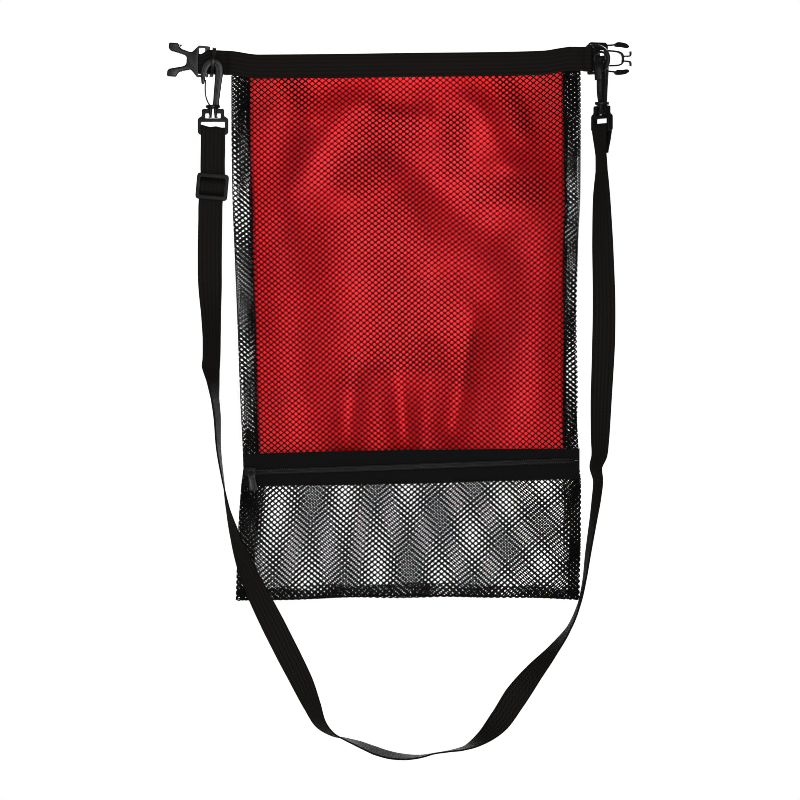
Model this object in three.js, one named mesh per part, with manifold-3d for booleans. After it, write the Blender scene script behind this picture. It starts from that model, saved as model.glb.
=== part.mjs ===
// Waterproof roll-top bag, hanging by the middle of its mouth band.
// Millimetres, +Z up, the front faces -Y, the origin is the middle of the mouth band's top edge.
import * as THREE from "three";
import { mergeVertices } from "three/addons/utils/BufferGeometryUtils.js";
import Module from "manifold-3d";

const wasm = await Module();
wasm.setup();

// ---------- named sizes ----------
const GAP = 0.35; // between neighbours
const CLOTH = 1.1; // inner bag wall
const NET = 1.0; // net wall
const NET_EDGE = 0.85; // half the distance between the two nets where they are sewn together
const LENS = 2.3; // how full a section across the bag is
const WEB = { width: 20, thick: 1.3 };
const TAPE = 1.0; // zip tape
const COIL = { tall: 4.6, thick: 1.9 };
const RING = { thick: 3, bar: 2.4, slot: 2.8, tall: 25.2, arm: 2.1, eye: 5.1, eyeOut: 6.8 };
const HOOK = { wide: 6, round: 1, gate: 1.1, gateWide: 4.2, collarR: 6, collarTop: 1.4, collarFoot: -1.3, prong: 2.4, prongDeep: 3.4 };
const BASE = { wide: 25.2, neck: 18.4, thick: 5, slot: 20.8, barDeep: 3.2 };
const SLIDE = { wide: 26, tall: 22, thick: 3, bar: 3.7, side: 2.7, tilt: 5 };
const PULL = { wide: 6.4, long: 18, thick: 1.5, tilt: 9, hang: 1.2 };

// ---------- tables ----------
// Top edge of the mouth band along X.
const BAND = [
  { x: -172, top: 3.4 }, { x: -146, top: 2.2 }, { x: -122, top: -1.0 }, { x: -60, top: -0.8 },
  { x: 0, top: 0 }, { x: 70, top: 0.8 }, { x: 114, top: 2.2 }, { x: 128, top: 4.4 }, { x: 137, top: 5.6 }, { x: 158, top: 5.3 },
];
// Side edges and half depths of the net bag and the inner bag down the height.
const BODY = [
  { z: 12, netL: -145.2, netR: 145.2, netD: 7.8, redL: -131.0, redR: 131.4, redD: 6.2 },
  { z: -22, netL: -145.3, netR: 145.3, netD: 7.8, redL: -131.0, redR: 131.8, redD: 6.2 },
  { z: -60, netL: -145.2, netR: 145.4, netD: 12.6, redL: -130.8, redR: 132.4, redD: 10.6 },
  { z: -110, netL: -144.6, netR: 145.2, netD: 17.0, redL: -129.8, redR: 132.8, redD: 14.8 },
  { z: -170, netL: -142.4, netR: 142.6, netD: 19.6, redL: -128.0, redR: 132.5, redD: 17.4 },
  { z: -230, netL: -140.0, netR: 141.2, netD: 19.0, redL: -126.6, redR: 132.2, redD: 16.6 },
  { z: -290, netL: -137.8, netR: 141.8, netD: 14.2, redL: -124.8, redR: 132.2, redD: 11.0 },
  { z: -326, netL: -136.0, netR: 143.4, netD: 9.8, redL: -123.6, redR: 132.0, redD: 5.2 },
  { z: -344, netL: -135.4, netR: 144.4, netD: 9.8, redL: -123.4, redR: 131.8, redD: 1.0 },
  { z: -358, netL: -137.0, netR: 145.6, netD: 9.8 },
  { z: -404, netL: -140.0, netR: 145.4, netD: 6.6 },
  { z: -440, netL: -141.2, netR: 144.6, netD: 2.6 },
  { z: -456, netL: -141.6, netR: 144.4, netD: NET_EDGE },
];
// Creases pressed into the inner bag's front: a line from one point to the other.
const CREASES = [
  { x0: -62, z0: -34, x1: -98, z1: -128, deep: 2.2, half: 13 },
  { x0: -20, z0: -40, x1: -76, z1: -150, deep: 1.8, half: 12 },
  { x0: 52, z0: -34, x1: 96, z1: -140, deep: 2.2, half: 13 },
  { x0: 16, z0: -60, x1: 40, z1: -190, deep: 1.6, half: 13 },
  { x0: -96, z0: -190, x1: -60, z1: -300, deep: 1.8, half: 14 },
  { x0: 70, z0: -180, x1: 104, z1: -300, deep: 1.8, half: 14 },
];
// The zip across the front.
const ZIP = [
  { x: -136, top: -332.8, coil: -348.2, bottom: -359.8 },
  { x: -71, top: -331.0, coil: -346.0, bottom: -358.8 },
  { x: 0, top: -329.5, coil: -343.5, bottom: -357.7 },
  { x: 70, top: -328.8, coil: -340.8, bottom: -355.6 },
  { x: 146, top: -328.2, coil: -338.0, bottom: -353.6 },
];
// Bottom edge of the net.
const HEM = [
  { x: -142, z: -454.4 }, { x: -90, z: -453.4 }, { x: -43, z: -451.6 }, { x: 15, z: -450.8 },
  { x: 60, z: -451.2 }, { x: 110, z: -452.2 }, { x: 146, z: -454.0 },
];
// The free run of the shoulder strap: the middle of its width, and its turn from facing the front.
const STRAP = [
  { x: -162.0, y: -11.8, z: -124, turn: 2 },
  { x: -162.3, y: -11.2, z: -140, turn: 2 },
  { x: -162.7, y: -10.8, z: -165, turn: 4 },
  { x: -162.6, y: -10.4, z: -190, turn: 12 },
  { x: -161.8, y: -10.2, z: -215, turn: 36 },
  { x: -160.6, y: -10.0, z: -248, turn: 46 },
  { x: -159.3, y: -10.0, z: -276, turn: 64 },
  { x: -156.7, y: -10.0, z: -302, turn: 77 },
  { x: -155.5, y: -10.4, z: -328, turn: 83 },
  { x: -151.6, y: -11.2, z: -356, turn: 90 },
  { x: -147.7, y: -12.6, z: -380, turn: 104 },
  { x: -141.6, y: -14.0, z: -402, turn: 120 },
  { x: -132.8, y: -14.6, z: -426, turn: 138 },
  { x: -121.2, y: -14.0, z: -452, turn: 157 },
  { x: -108.8, y: -13.0, z: -477, turn: 171 },
  { x: -97.2, y: -12.4, z: -500, turn: 170 },
  { x: -86.2, y: -12.0, z: -522, turn: 159 },
  { x: -78.0, y: -11.6, z: -541, turn: 138 },
  { x: -70.9, y: -11.4, z: -556.4, turn: 120 },
  { x: -60.6, y: -11.3, z: -565.4, turn: 101 },
  { x: -50.6, y: -11.2, z: -569.2, turn: 90 },
  { x: -38.0, y: -11.1, z: -573.8, turn: 80 },
  { x: -25.7, y: -11.0, z: -578.8, turn: 75 },
  { x: -13.3, y: -11.0, z: -582.5, turn: 77 },
  { x: -0.8, y: -11.0, z: -584.1, turn: 82 },
  { x: 11.6, y: -11.0, z: -583.7, turn: 89 },
  { x: 24.0, y: -11.0, z: -581.2, turn: 95 },
  { x: 36.5, y: -11.0, z: -579.2, turn: 93 },
  { x: 49.2, y: -11.0, z: -576.4, turn: 86 },
  { x: 64.2, y: -11.2, z: -567.4, turn: 60 },
  { x: 77.6, y: -11.4, z: -554, turn: 27 },
  { x: 91.0, y: -11.6, z: -534, turn: 12 },
  { x: 105.4, y: -12.0, z: -515, turn: 42 },
  { x: 120.6, y: -12.6, z: -497, turn: 66 },
  { x: 135.2, y: -13.2, z: -477, turn: 84 },
  { x: 143.6, y: -13.4, z: -457, turn: 88 },
  { x: 148.0, y: -12.4, z: -437, turn: 86 },
  { x: 150.9, y: -11.6, z: -416, turn: 81 },
  { x: 155.6, y: -10.6, z: -386, turn: 76 },
  { x: 158.0, y: -9.8, z: -358, turn: 68 },
  { x: 160.4, y: -9.2, z: -330, turn: 48 },
  { x: 161.9, y: -8.6, z: -290, turn: 33 },
  { x: 164.0, y: -8.0, z: -240, turn: 20 },
  { x: 164.4, y: -7.6, z: -205, turn: 23 },
  { x: 163.3, y: -7.2, z: -160, turn: 32 },
  { x: 162.4, y: -6.8, z: -120, turn: 43 },
  { x: 162.2, y: -6.6, z: -98, turn: 58 },
];

// ---------- places ----------
const LEFT = { x: -160.0, y: -10.6, eyeZ: -7.4, hookZ: -44.9, ringTurn: -86, ringTilt: 6 };
const RIGHT_RING = { x: 152.2, y: -2.0, turn: -25 }; // its bar in the band's loop
const RIGHT = { x: 162.7, y: -6.1, eyeZ: -5.0, hookZ: -42.0, turn: 66, baseTurn: -58 };
const SOCKET = { x: -165.7, z: -6.9, tilt: 3.7 };
const PLUG = { x: 151.4, y: 1.2, z: -3.3, turn: 18 };
const SLIDE_AT = { x: -160.6, y: -14.4, z: -111.3 };
const ZIP_HEAD = { x: -129.4 };

// ---------- helpers ----------
const sq = (v) => v * v;
const lerp = (a, b, t) => a + (b - a) * t;
const rad = (d) => (d * Math.PI) / 180;

// A smooth curve through a table's column that never passes its rows.
function along(rows, key, col, at) {
  const r = rows.filter((row) => row[col] !== undefined);
  const up = r[r.length - 1][key] > r[0][key];
  let i = 0;
  while (i < r.length - 2 && (up ? at > r[i + 1][key] : at < r[i + 1][key])) i++;
  const slope = (k) => (r[k + 1][col] - r[k][col]) / (r[k + 1][key] - r[k][key]);
  const tangent = (k) => {
    if (k === 0) return slope(0);
    if (k === r.length - 1) return slope(k - 1);
    const a = slope(k - 1), b = slope(k);
    return a * b <= 0 ? 0 : (2 * a * b) / (a + b);
  };
  const span = r[i + 1][key] - r[i][key];
  const t = Math.min(1, Math.max(0, (at - r[i][key]) / span));
  const h = [2 * t ** 3 - 3 * t * t + 1, t ** 3 - 2 * t * t + t, -2 * t ** 3 + 3 * t * t, t ** 3 - t * t];
  return h[0] * r[i][col] + h[1] * span * tangent(i) + h[2] * r[i + 1][col] + h[3] * span * tangent(i + 1);
}
const bandTop = (x) => along(BAND, "x", "top", x);
const body = (col, z) => along(BODY, "z", col, z);
const zip = (col, x) => along(ZIP, "x", col, x);
const hemZ = (x) => along(HEM, "x", "z", x);

function solid(geometry) {
  const g = geometry.clone();
  g.deleteAttribute("normal");
  g.deleteAttribute("uv");
  const m = mergeVertices(g, 1e-3);
  return new wasm.Manifold(
    new wasm.Mesh({ numProp: 3, vertProperties: m.attributes.position.array, triVerts: new Uint32Array(m.index.array) }),
  );
}
function geometryOf(s) {
  const m = s.getMesh();
  const v = new Float32Array(m.numVert * 3);
  for (let i = 0; i < m.numVert; i++) v.set(m.vertProperties.subarray(i * m.numProp, i * m.numProp + 3), i * 3);
  return new THREE.BufferGeometry()
    .setAttribute("position", new THREE.BufferAttribute(v, 3))
    .setIndex(new THREE.BufferAttribute(m.triVerts, 1));
}
function mesh(points, faces) {
  const g = new THREE.BufferGeometry();
  g.setAttribute("position", new THREE.Float32BufferAttribute(points.flatMap((p) => [p.x, p.y, p.z]), 3));
  g.setIndex(faces);
  return g;
}
// A plate standing in XZ, its thickness along Y, middle at y = 0.
function plate(shape, thick, round = 0, segments = 3) {
  const g = new THREE.ExtrudeGeometry(shape, {
    depth: thick - 2 * round, bevelEnabled: round > 0, bevelThickness: round, bevelSize: round,
    bevelOffset: -round, bevelSegments: 1, curveSegments: segments, steps: 1,
  });
  g.translate(0, 0, -(thick - 2 * round) / 2);
  return g.rotateX(Math.PI / 2);
}
const outline = (pts) => new THREE.Shape(pts.map(([u, v]) => new THREE.Vector2(u, v)));
const smooth = (pts, per = 3) => new THREE.Shape(
  new THREE.CatmullRomCurve3(pts.map(([u, v]) => new THREE.Vector3(u, v, 0)), true, "centripetal")
    .getPoints(pts.length * per).slice(0, -1).map((p) => new THREE.Vector2(p.x, p.y)),
);
function rectangle(u0, v0, u1, v1, r = 0) {
  if (!r) return outline([[u0, v0], [u1, v0], [u1, v1], [u0, v1]]);
  const s = new THREE.Shape();
  s.moveTo(u0 + r, v0).lineTo(u1 - r, v0).absarc(u1 - r, v0 + r, r, -Math.PI / 2, 0);
  s.lineTo(u1, v1 - r).absarc(u1 - r, v1 - r, r, 0, Math.PI / 2);
  s.lineTo(u0 + r, v1).absarc(u0 + r, v1 - r, r, Math.PI / 2, Math.PI);
  s.lineTo(u0, v0 + r).absarc(u0 + r, v0 + r, r, Math.PI, 1.5 * Math.PI);
  return s;
}
// A strip of even width along a broken line.
function stroke(pts, width) {
  const p = pts.map(([u, v]) => new THREE.Vector2(u, v));
  const side = (sign) => p.map((q, i) => {
    const a = p[Math.max(0, i - 1)], b = p[Math.min(p.length - 1, i + 1)];
    const before = i ? q.clone().sub(a).normalize() : b.clone().sub(q).normalize();
    const after = i < p.length - 1 ? b.clone().sub(q).normalize() : before;
    const t = before.clone().add(after).normalize();
    const n = new THREE.Vector2(-t.y, t.x).multiplyScalar((sign * width) / 2 / Math.max(0.5, t.dot(before)));
    return q.clone().add(n);
  });
  return new THREE.Shape([...side(1), ...side(-1).reverse()]);
}
const block = (x0, x1, y0, y1, z0, z1) =>
  solid(new THREE.BoxGeometry(x1 - x0, y1 - y0, z1 - z0).translate((x0 + x1) / 2, (y0 + y1) / 2, (z0 + z1) / 2));
const joined = (...list) => list.reduce((a, b) => a.add(b));

// ---------- cloth ----------
const fullness = (t) => 1 - Math.abs(t) ** LENS;
const across = (left, right, x) => (2 * x - left - right) / (right - left);
function netDepth(x, z) {
  const t = Math.min(1, Math.abs(across(body("netL", z), body("netR", z), x)));
  return NET_EDGE + (body("netD", z) - NET_EDGE) * fullness(t);
}
function crease(x, z) {
  let pressed = 0;
  for (const c of CREASES) {
    const dx = c.x1 - c.x0, dz = c.z1 - c.z0, length2 = dx * dx + dz * dz;
    const s = ((x - c.x0) * dx + (z - c.z0) * dz) / length2;
    if (s <= 0 || s >= 1) continue;
    const off = Math.abs((x - c.x0) * dz - (z - c.z0) * dx) / Math.sqrt(length2);
    pressed += c.deep * Math.exp(-sq(off / c.half) * 2.5) * Math.sin(Math.PI * s);
  }
  return pressed;
}
const redDepth = (x, z, t) => {
  const d = body("redD", z) * fullness(t);
  return d - Math.min(crease(x, z), 0.22 * d);
};

// A closed wall: an outer and an inner ring at each level, joined round the mouth and closed at the foot.
function pouch(columns, rows, innerRows) {
  const points = [], faces = [];
  const bottom = -345;
  const spread = (i) => -Math.cos((Math.PI * i) / columns) * 0.55 - (1 - (2 * i) / columns) * 0.45;
  const ring = (s, inset) => {
    const list = [];
    const place = (t, front) => {
      const guess = lerp(-131, 132, (t + 1) / 2);
      const rim = bandTop(guess) - 0.9;
      const z = lerp(rim, bottom, s);
      const x = lerp(body("redL", z), body("redR", z), (t + 1) / 2);
      const d = front ? redDepth(x, z, t) : body("redD", z) * fullness(t);
      return { x, z, d };
    };
    const reach = inset ? (1 - 1.5 / body("redD", lerp(-0.9, bottom, s))) ** (1 / LENS) : 1;
    for (let i = 0; i <= columns; i++) {
      const q = place(spread(i) * reach, true);
      const end = !inset && (i === 0 || i === columns);
      list.push(new THREE.Vector3(q.x, end ? 0 : -(q.d - (inset ? CLOTH : 0)), q.z));
    }
    for (let i = columns - 1; i > 0; i--) {
      const q = place(spread(i) * reach, false);
      list.push(new THREE.Vector3(q.x, q.d - (inset ? CLOTH : 0), q.z));
    }
    if (inset) {
      list[0].y = 0;
      list[columns].y = 0;
    }
    return list;
  };
  const count = 2 * columns;
  const tube = (rings, flip) => {
    const base = points.length;
    rings.forEach((r) => points.push(...r));
    for (let k = 0; k < rings.length - 1; k++)
      for (let i = 0; i < count; i++) {
        const a = base + k * count + i, b = base + k * count + ((i + 1) % count), c = a + count, d = b + count;
        flip ? faces.push(a, b, c, b, d, c) : faces.push(a, c, b, b, c, d);
      }
    const foot = base + (rings.length - 1) * count;
    for (let i = 0; i < columns; i++) {
      const a = foot + i, b = foot + i + 1, c = foot + ((count - i) % count), d = foot + count - i - 1;
      const quad = i === 0 ? [[a, d, b]] : i === columns - 1 ? [[a, c, b]] : [[a, c, b], [b, c, d]];
      quad.forEach(([p, q, r]) => (flip ? faces.push(p, r, q) : faces.push(p, q, r)));
    }
    return base;
  };
  const outer = tube(Array.from({ length: rows + 1 }, (_, k) => ring(k / rows, false)), false);
  const inner = tube(Array.from({ length: innerRows + 1 }, (_, k) => ring((k / innerRows) * 0.945, true)), true);
  for (let i = 0; i < count; i++) {
    const a = outer + i, b = outer + ((i + 1) % count), c = inner + i, d = inner + ((i + 1) % count);
    faces.push(a, b, c, b, d, c);
  }
  return mesh(points, faces);
}

// A closed sheet from its middle surface: place(s, t) for s, t in 0..1, thickness along Y.
function sheet(columns, rows, thick, place) {
  const points = [], faces = [], n = columns + 1, m = rows + 1;
  for (const sign of [-1, 1])
    for (let j = 0; j < m; j++)
      for (let i = 0; i < n; i++) {
        const p = place(i / columns, j / rows);
        points.push(new THREE.Vector3(p.x, p.y + (sign * thick) / 2, p.z));
      }
  const at = (i, j, back) => back * n * m + j * n + i;
  for (let j = 0; j < rows; j++)
    for (let i = 0; i < columns; i++) {
      const [a, b, c, d] = [at(i, j, 0), at(i + 1, j, 0), at(i, j + 1, 0), at(i + 1, j + 1, 0)];
      const [e, f, g, h] = [at(i, j, 1), at(i + 1, j, 1), at(i, j + 1, 1), at(i + 1, j + 1, 1)];
      faces.push(a, c, b, b, c, d, e, f, g, f, h, g);
    }
  const rim = (p, q) => faces.push(p[0], q[0], p[1], q[0], q[1], p[1]);
  for (let i = 0; i < columns; i++) {
    rim([at(i, 0, 0), at(i, 0, 1)], [at(i + 1, 0, 0), at(i + 1, 0, 1)]);
    rim([at(i + 1, rows, 0), at(i + 1, rows, 1)], [at(i, rows, 0), at(i, rows, 1)]);
  }
  for (let j = 0; j < rows; j++) {
    rim([at(0, j + 1, 0), at(0, j + 1, 1)], [at(0, j, 0), at(0, j, 1)]);
    rim([at(columns, j, 0), at(columns, j, 1)], [at(columns, j + 1, 0), at(columns, j + 1, 1)]);
  }
  return mesh(points, faces);
}
// One net panel between two heights that follow X; side -1 is the front, 1 the back.
function netPanel(columns, rows, side, topAt, bottomAt) {
  return sheet(columns, rows, NET, (s, t) => {
    const u = 0.6 * s + 0.4 * (0.5 - 0.5 * Math.cos(Math.PI * s));
    const guess = lerp(-141, 144, u);
    const z = lerp(topAt(guess), bottomAt(guess), t);
    const x = lerp(body("netL", z), body("netR", z), u);
    return new THREE.Vector3(x, side * netDepth(x, z), z);
  });
}
// A ribbon: stations with a middle p, a unit width direction w and a unit normal n.
function ribbon(stations, width, thick) {
  const points = [], faces = [];
  for (const { p, w, n } of stations)
    for (const [a, b] of [[-1, -1], [1, -1], [1, 1], [-1, 1]])
      points.push(p.clone().addScaledVector(w, (a * width) / 2).addScaledVector(n, (b * thick) / 2));
  const last = stations.length - 1;
  for (let k = 0; k < last; k++)
    for (let i = 0; i < 4; i++) {
      const a = 4 * k + i, b = 4 * k + ((i + 1) % 4), c = a + 4, d = b + 4;
      i === 2 ? faces.push(a, b, d, a, d, c) : faces.push(a, b, c, b, d, c); // both broad faces bend along the same diagonal
    }
  faces.push(0, 2, 1, 0, 3, 2, 4 * last, 4 * last + 1, 4 * last + 2, 4 * last, 4 * last + 2, 4 * last + 3);
  return mesh(points, faces);
}
// Turned right way out whichever way its stations run.
function facingOut(geometry) {
  const p = geometry.attributes.position, idx = geometry.index.array;
  const v = (i) => new THREE.Vector3().fromBufferAttribute(p, i);
  let volume = 0;
  for (let i = 0; i < idx.length; i += 3) volume += v(idx[i]).dot(v(idx[i + 1]).cross(v(idx[i + 2])));
  if (volume < 0) for (let i = 0; i < idx.length; i += 3) [idx[i + 1], idx[i + 2]] = [idx[i + 2], idx[i + 1]];
  return geometry;
}

// ---------- mouth band ----------
const bandOut = (x) => -(netDepth(x, -12) + NET / 2 + GAP + WEB.thick / 2);
const bandBack = (x) => -bandOut(x);
// The band's ends in plan: the turned-back end first, round the bars, then on to the front run.
const LOOP_LEFT = [
  { x: -147.4, y: 1.0 }, { x: -153, y: 1.3 }, { x: -158, y: 2.6 }, { x: -163, y: 2.9 }, { x: -167.4, y: 2.75 },
  { x: -169.3, y: 1.6 }, { x: -169.7, y: -0.1 }, { x: -169.2, y: -1.9 }, { x: -167.2, y: -2.9 }, { x: -162.5, y: -2.75 },
  { x: -158.5, y: -2.7 }, { x: -153, y: -1.5 }, { x: -149, y: -1.7 }, { x: -145.6, y: -2.6 },
];
const BAND_LEAN = 8; // of the left turn, its foot farther out
const LOOP_RIGHT = [
  { x: 145.6, y: -2.7 }, { x: 147.6, y: -4.0 }, { x: 149.4, y: -5.4 }, { x: 151.4, y: -5.95 }, { x: 153.6, y: -5.4 }, { x: 154.8, y: -3.7 },
  { x: 155.3, y: -1.8 }, { x: 155.4, y: 0.2 }, { x: 155.3, y: 2.2 }, { x: 154.2, y: 4.0 }, { x: 151.8, y: 4.6 }, { x: 149.4, y: 3.6 }, { x: 147.6, y: 1.8 },
];
function bandStations(plan) {
  const curve = new THREE.CatmullRomCurve3(plan.map((p) => new THREE.Vector3(p.x, p.y, 0)), false, "centripetal");
  const count = plan.length * 2;
  return Array.from({ length: count + 1 }, (_, i) => {
    const p = curve.getPoint(i / count), t = curve.getTangent(i / count);
    const lean = rad(BAND_LEAN) * Math.min(1, Math.max(0, (-164 - p.x) / 4));
    const w = new THREE.Vector3(Math.sin(lean), 0, Math.cos(lean));
    w.addScaledVector(t, -w.dot(t)).normalize();
    return { p: new THREE.Vector3(p.x, p.y, bandTop(p.x) - WEB.width / 2), w, n: t.clone().cross(w).normalize() };
  });
}
const frontRun = Array.from({ length: 15 }, (_, i) => {
  const x = lerp(-138, 138, i / 14);
  return { x, y: bandOut(x) };
});
const bandFront = facingOut(ribbon(bandStations([...LOOP_LEFT, ...frontRun, ...LOOP_RIGHT]), WEB.width, WEB.thick));
const bandRear = facingOut(ribbon(
  bandStations(Array.from({ length: 15 }, (_, i) => {
    const x = lerp(-143, 143, i / 14);
    return { x, y: bandBack(x) };
  })), WEB.width, WEB.thick));

// ---------- zip ----------
const zipY = (x) => -(netDepth(x, zip("top", x)) + NET / 2 + 0.3 + TAPE / 2);
const TAPE_MEET = 0.35; // half the slit between the two tapes
const zipEnds = { left: -135.0, right: 142.4 };
const tape = (from, to) => sheet(20, 2, TAPE, (s, t) => {
  const x = lerp(zipEnds.left, zipEnds.right, s);
  return new THREE.Vector3(x, zipY(x), lerp(from(x), to(x), t));
});
const tapeUpper = tape((x) => zip("top", x), (x) => zip("coil", x) + TAPE_MEET);
const tapeLower = tape((x) => zip("coil", x) - TAPE_MEET, (x) => zip("bottom", x));
const coilY = (x) => zipY(x) - TAPE / 2 - 0.25 - COIL.thick / 2;
const coil = facingOut(ribbon(
  Array.from({ length: 21 }, (_, i) => {
    const x = lerp(-131.6, 140.6, i / 20);
    return { p: new THREE.Vector3(x, coilY(x), zip("coil", x)), w: new THREE.Vector3(0, 0, 1), n: new THREE.Vector3(0, 1, 0) };
  }), COIL.tall, COIL.thick));

const slope = (coilY(ZIP_HEAD.x + 4) - coilY(ZIP_HEAD.x - 4)) / 8;
const head = { x: ZIP_HEAD.x, y: coilY(ZIP_HEAD.x), z: zip("coil", ZIP_HEAD.x), turn: (Math.atan(slope) * 180) / Math.PI };
const HEAD = { long: 10.4, tall: 8.2, plate: 1.1, coilRoom: 0.6, rearRoom: 0.5, leg: 1.0, legTall: 1.2, bridge: 2.95 };
const PIN = 2.4; // from the slider's middle to the bridge leg that the pull hangs on
const headFront = -COIL.thick / 2 - HEAD.coilRoom, headBack = COIL.thick / 2 + 0.25 + TAPE + HEAD.rearRoom;
function sliderSolid() {
  const half = HEAD.long / 2;
  const cap = solid(plate(outline([[-half, -2.6], [-half + 0.8, -3.4], [-1, -HEAD.tall / 2], [half - 1, -3.8], [half, -3], [half, 3], [half - 1, 3.8], [-1, HEAD.tall / 2], [-half + 0.8, 3.4], [-half, 2.6]]), HEAD.plate, 0.25))
    .translate(0, headFront - HEAD.plate / 2, 0);
  const rear = solid(plate(rectangle(-half, -3.4, half, 3.4, 0.8), HEAD.plate)).translate(0, headBack + HEAD.plate / 2, 0);
  const post = block(-half + 0.3, -half + 2.2, headFront - 0.3, headBack + 0.3, -0.2, 0.2);
  const bridge = solid(plate(stroke([[-3.6, 0.4], [-3.6, -HEAD.bridge], [PIN, -HEAD.bridge], [PIN, 0.4]], HEAD.leg), HEAD.legTall))
    .rotate([-90, 0, 0]).translate(0, headFront - HEAD.plate, 0);
  return joined(cap, rear, post, bridge).rotate([0, 0, head.turn]).translate(head.x, head.y, head.z);
}
const inHead = (u, d) => {
  const a = rad(head.turn);
  return { x: head.x + u * Math.cos(a) - d * Math.sin(a), y: head.y + u * Math.sin(a) + d * Math.cos(a) };
};
// The pull hangs flat on the bridge's right leg; its own origin is that leg's middle.
const PIVOT = { ...inHead(PIN, headFront - HEAD.plate - 1.2), z: head.z };
function pullSolid() {
  const w = PULL.wide / 2, foot = 2.6 - PULL.long;
  const tab = outline([[-w + 1.2, 2.6], [-w, 1.6], [-w + 0.2, -3.2], [-w + 0.1, -8], [-w - 0.5, foot + 1.4], [-w + 0.5, foot], [w - 0.5, foot], [w + 0.5, foot + 1.4],
    [w - 0.1, -8], [w - 0.2, -3.2], [w, 1.6], [w - 1.2, 2.6]]);
  return solid(plate(tab, PULL.thick, 0.3))
    .subtract(solid(plate(rectangle(-2.05, -2.6, 2.05, 1.3, 0.5), 4)))
    .translate(-PULL.hang, 0, -0.15)
    .rotate([0, -PULL.tilt, 0])
    .rotate([0, 0, head.turn]);
}

// ---------- rings ----------
// Standing in XZ: u away from the bar, v along it.
function ringShape() {
  const b = RING.bar / 2, h = RING.tall / 2, eyeU = b + RING.slot + RING.eyeOut, out = eyeU + RING.eyeOut + 1.0;
  const s = new THREE.Shape();
  s.moveTo(-b, -h + 1.2).lineTo(-b, h - 1.2).quadraticCurveTo(-b, h, -b + 1.2, h).lineTo(5, h);
  s.bezierCurveTo(eyeU, h, out, h * 0.72, out, 0);
  s.bezierCurveTo(out, -h * 0.72, eyeU, -h, 5, -h).lineTo(-b + 1.2, -h).quadraticCurveTo(-b, -h, -b, -h + 1.2);
  const inner = h - RING.arm, slot = new THREE.Shape(), from = rad(66);
  slot.moveTo(b, -inner).lineTo(b, inner).lineTo(5, inner).quadraticCurveTo(eyeU, inner, eyeU + 3.6, inner - 2.2);
  slot.absarc(eyeU, 0, RING.eyeOut, from, 2 * Math.PI - from, false);
  slot.lineTo(eyeU + 3.6, -inner + 2.2).quadraticCurveTo(eyeU, -inner, 5, -inner);
  const eye = new THREE.Shape().absarc(eyeU, 0, RING.eye, 0, 2 * Math.PI);
  return { shape: s, slot, eye, eyeU };
}
const ring = ringShape();
const ringPlate = () => [ring.slot, ring.eye].reduce(
  (s, hole) => s.subtract(solid(plate(hole, RING.thick + 1, 0, 7))), solid(plate(ring.shape, RING.thick, 0.5, 6)));
const ringLeft = ringPlate().rotate([0, 0, LEFT.ringTurn]).rotate([0, LEFT.ringTilt, 0]).translate(LEFT.x - 0.75, LEFT.y + ring.eyeU, LEFT.eyeZ);
const ringRight = ringPlate().rotate([0, 0, RIGHT_RING.turn]).translate(RIGHT_RING.x, RIGHT_RING.y, RIGHT.eyeZ);

// ---------- hooks and bases ----------
// u across, v up from the collar's top; the swivel axis is u = 0.
function hookSolid() {
  const bodyShape = smooth([
    [4.6, -0.6], [5.2, 4.2], [6.3, 12.5], [7.7, 22.4], [8.6, 29], [8.0, 34.6], [5.4, 38.2], [1.4, 39.9], [-2.8, 39.6],
    [-7, 37.0], [-9.2, 33.6], [-10.2, 29], [-9.8, 22.6], [-9.2, 19.2], [-7.4, 19.2], [-6.7, 21.8], [-5.7, 26], [-4.1, 30.2],
    [-2.2, 33.2], [-0.3, 34.2], [1.3, 32.6], [1.8, 27.4], [1.4, 20.8], [0.7, 12.5], [0.1, 4], [-0.4, -0.6],
  ], 2);
  const rib = stroke([[2.5, 2], [3.4, 14], [4.8, 26], [4.6, 31]], 1.2);
  const gate = stroke([[-6.1, 22.4], [-6.4, 15], [-6.0, 9.5], [-4.5, 4.4], [-2.2, 0.4]], HOOK.gate);
  const collar = solid(new THREE.CylinderGeometry(HOOK.collarR, HOOK.collarR, HOOK.collarTop - HOOK.collarFoot, 24).rotateX(Math.PI / 2))
    .translate(0, 0, (HOOK.collarTop + HOOK.collarFoot) / 2);
  const prongs = [-1, 1].flatMap((s) => [
    block(s > 0 ? 1 : -1 - HOOK.prong, s > 0 ? 1 + HOOK.prong : -1, -HOOK.prongDeep / 2, HOOK.prongDeep / 2, -9.2, HOOK.collarFoot + 0.4),
    block(s > 0 ? 1 : -4.3, s > 0 ? 4.3 : -1, -HOOK.prongDeep / 2, HOOK.prongDeep / 2, -9.2, -7.8),
  ]);
  return joined(
    solid(plate(bodyShape, HOOK.wide, HOOK.round)),
    solid(plate(rib, HOOK.wide + 0.8)),
    solid(plate(gate, HOOK.gateWide)), collar, ...prongs,
  );
}
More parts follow.
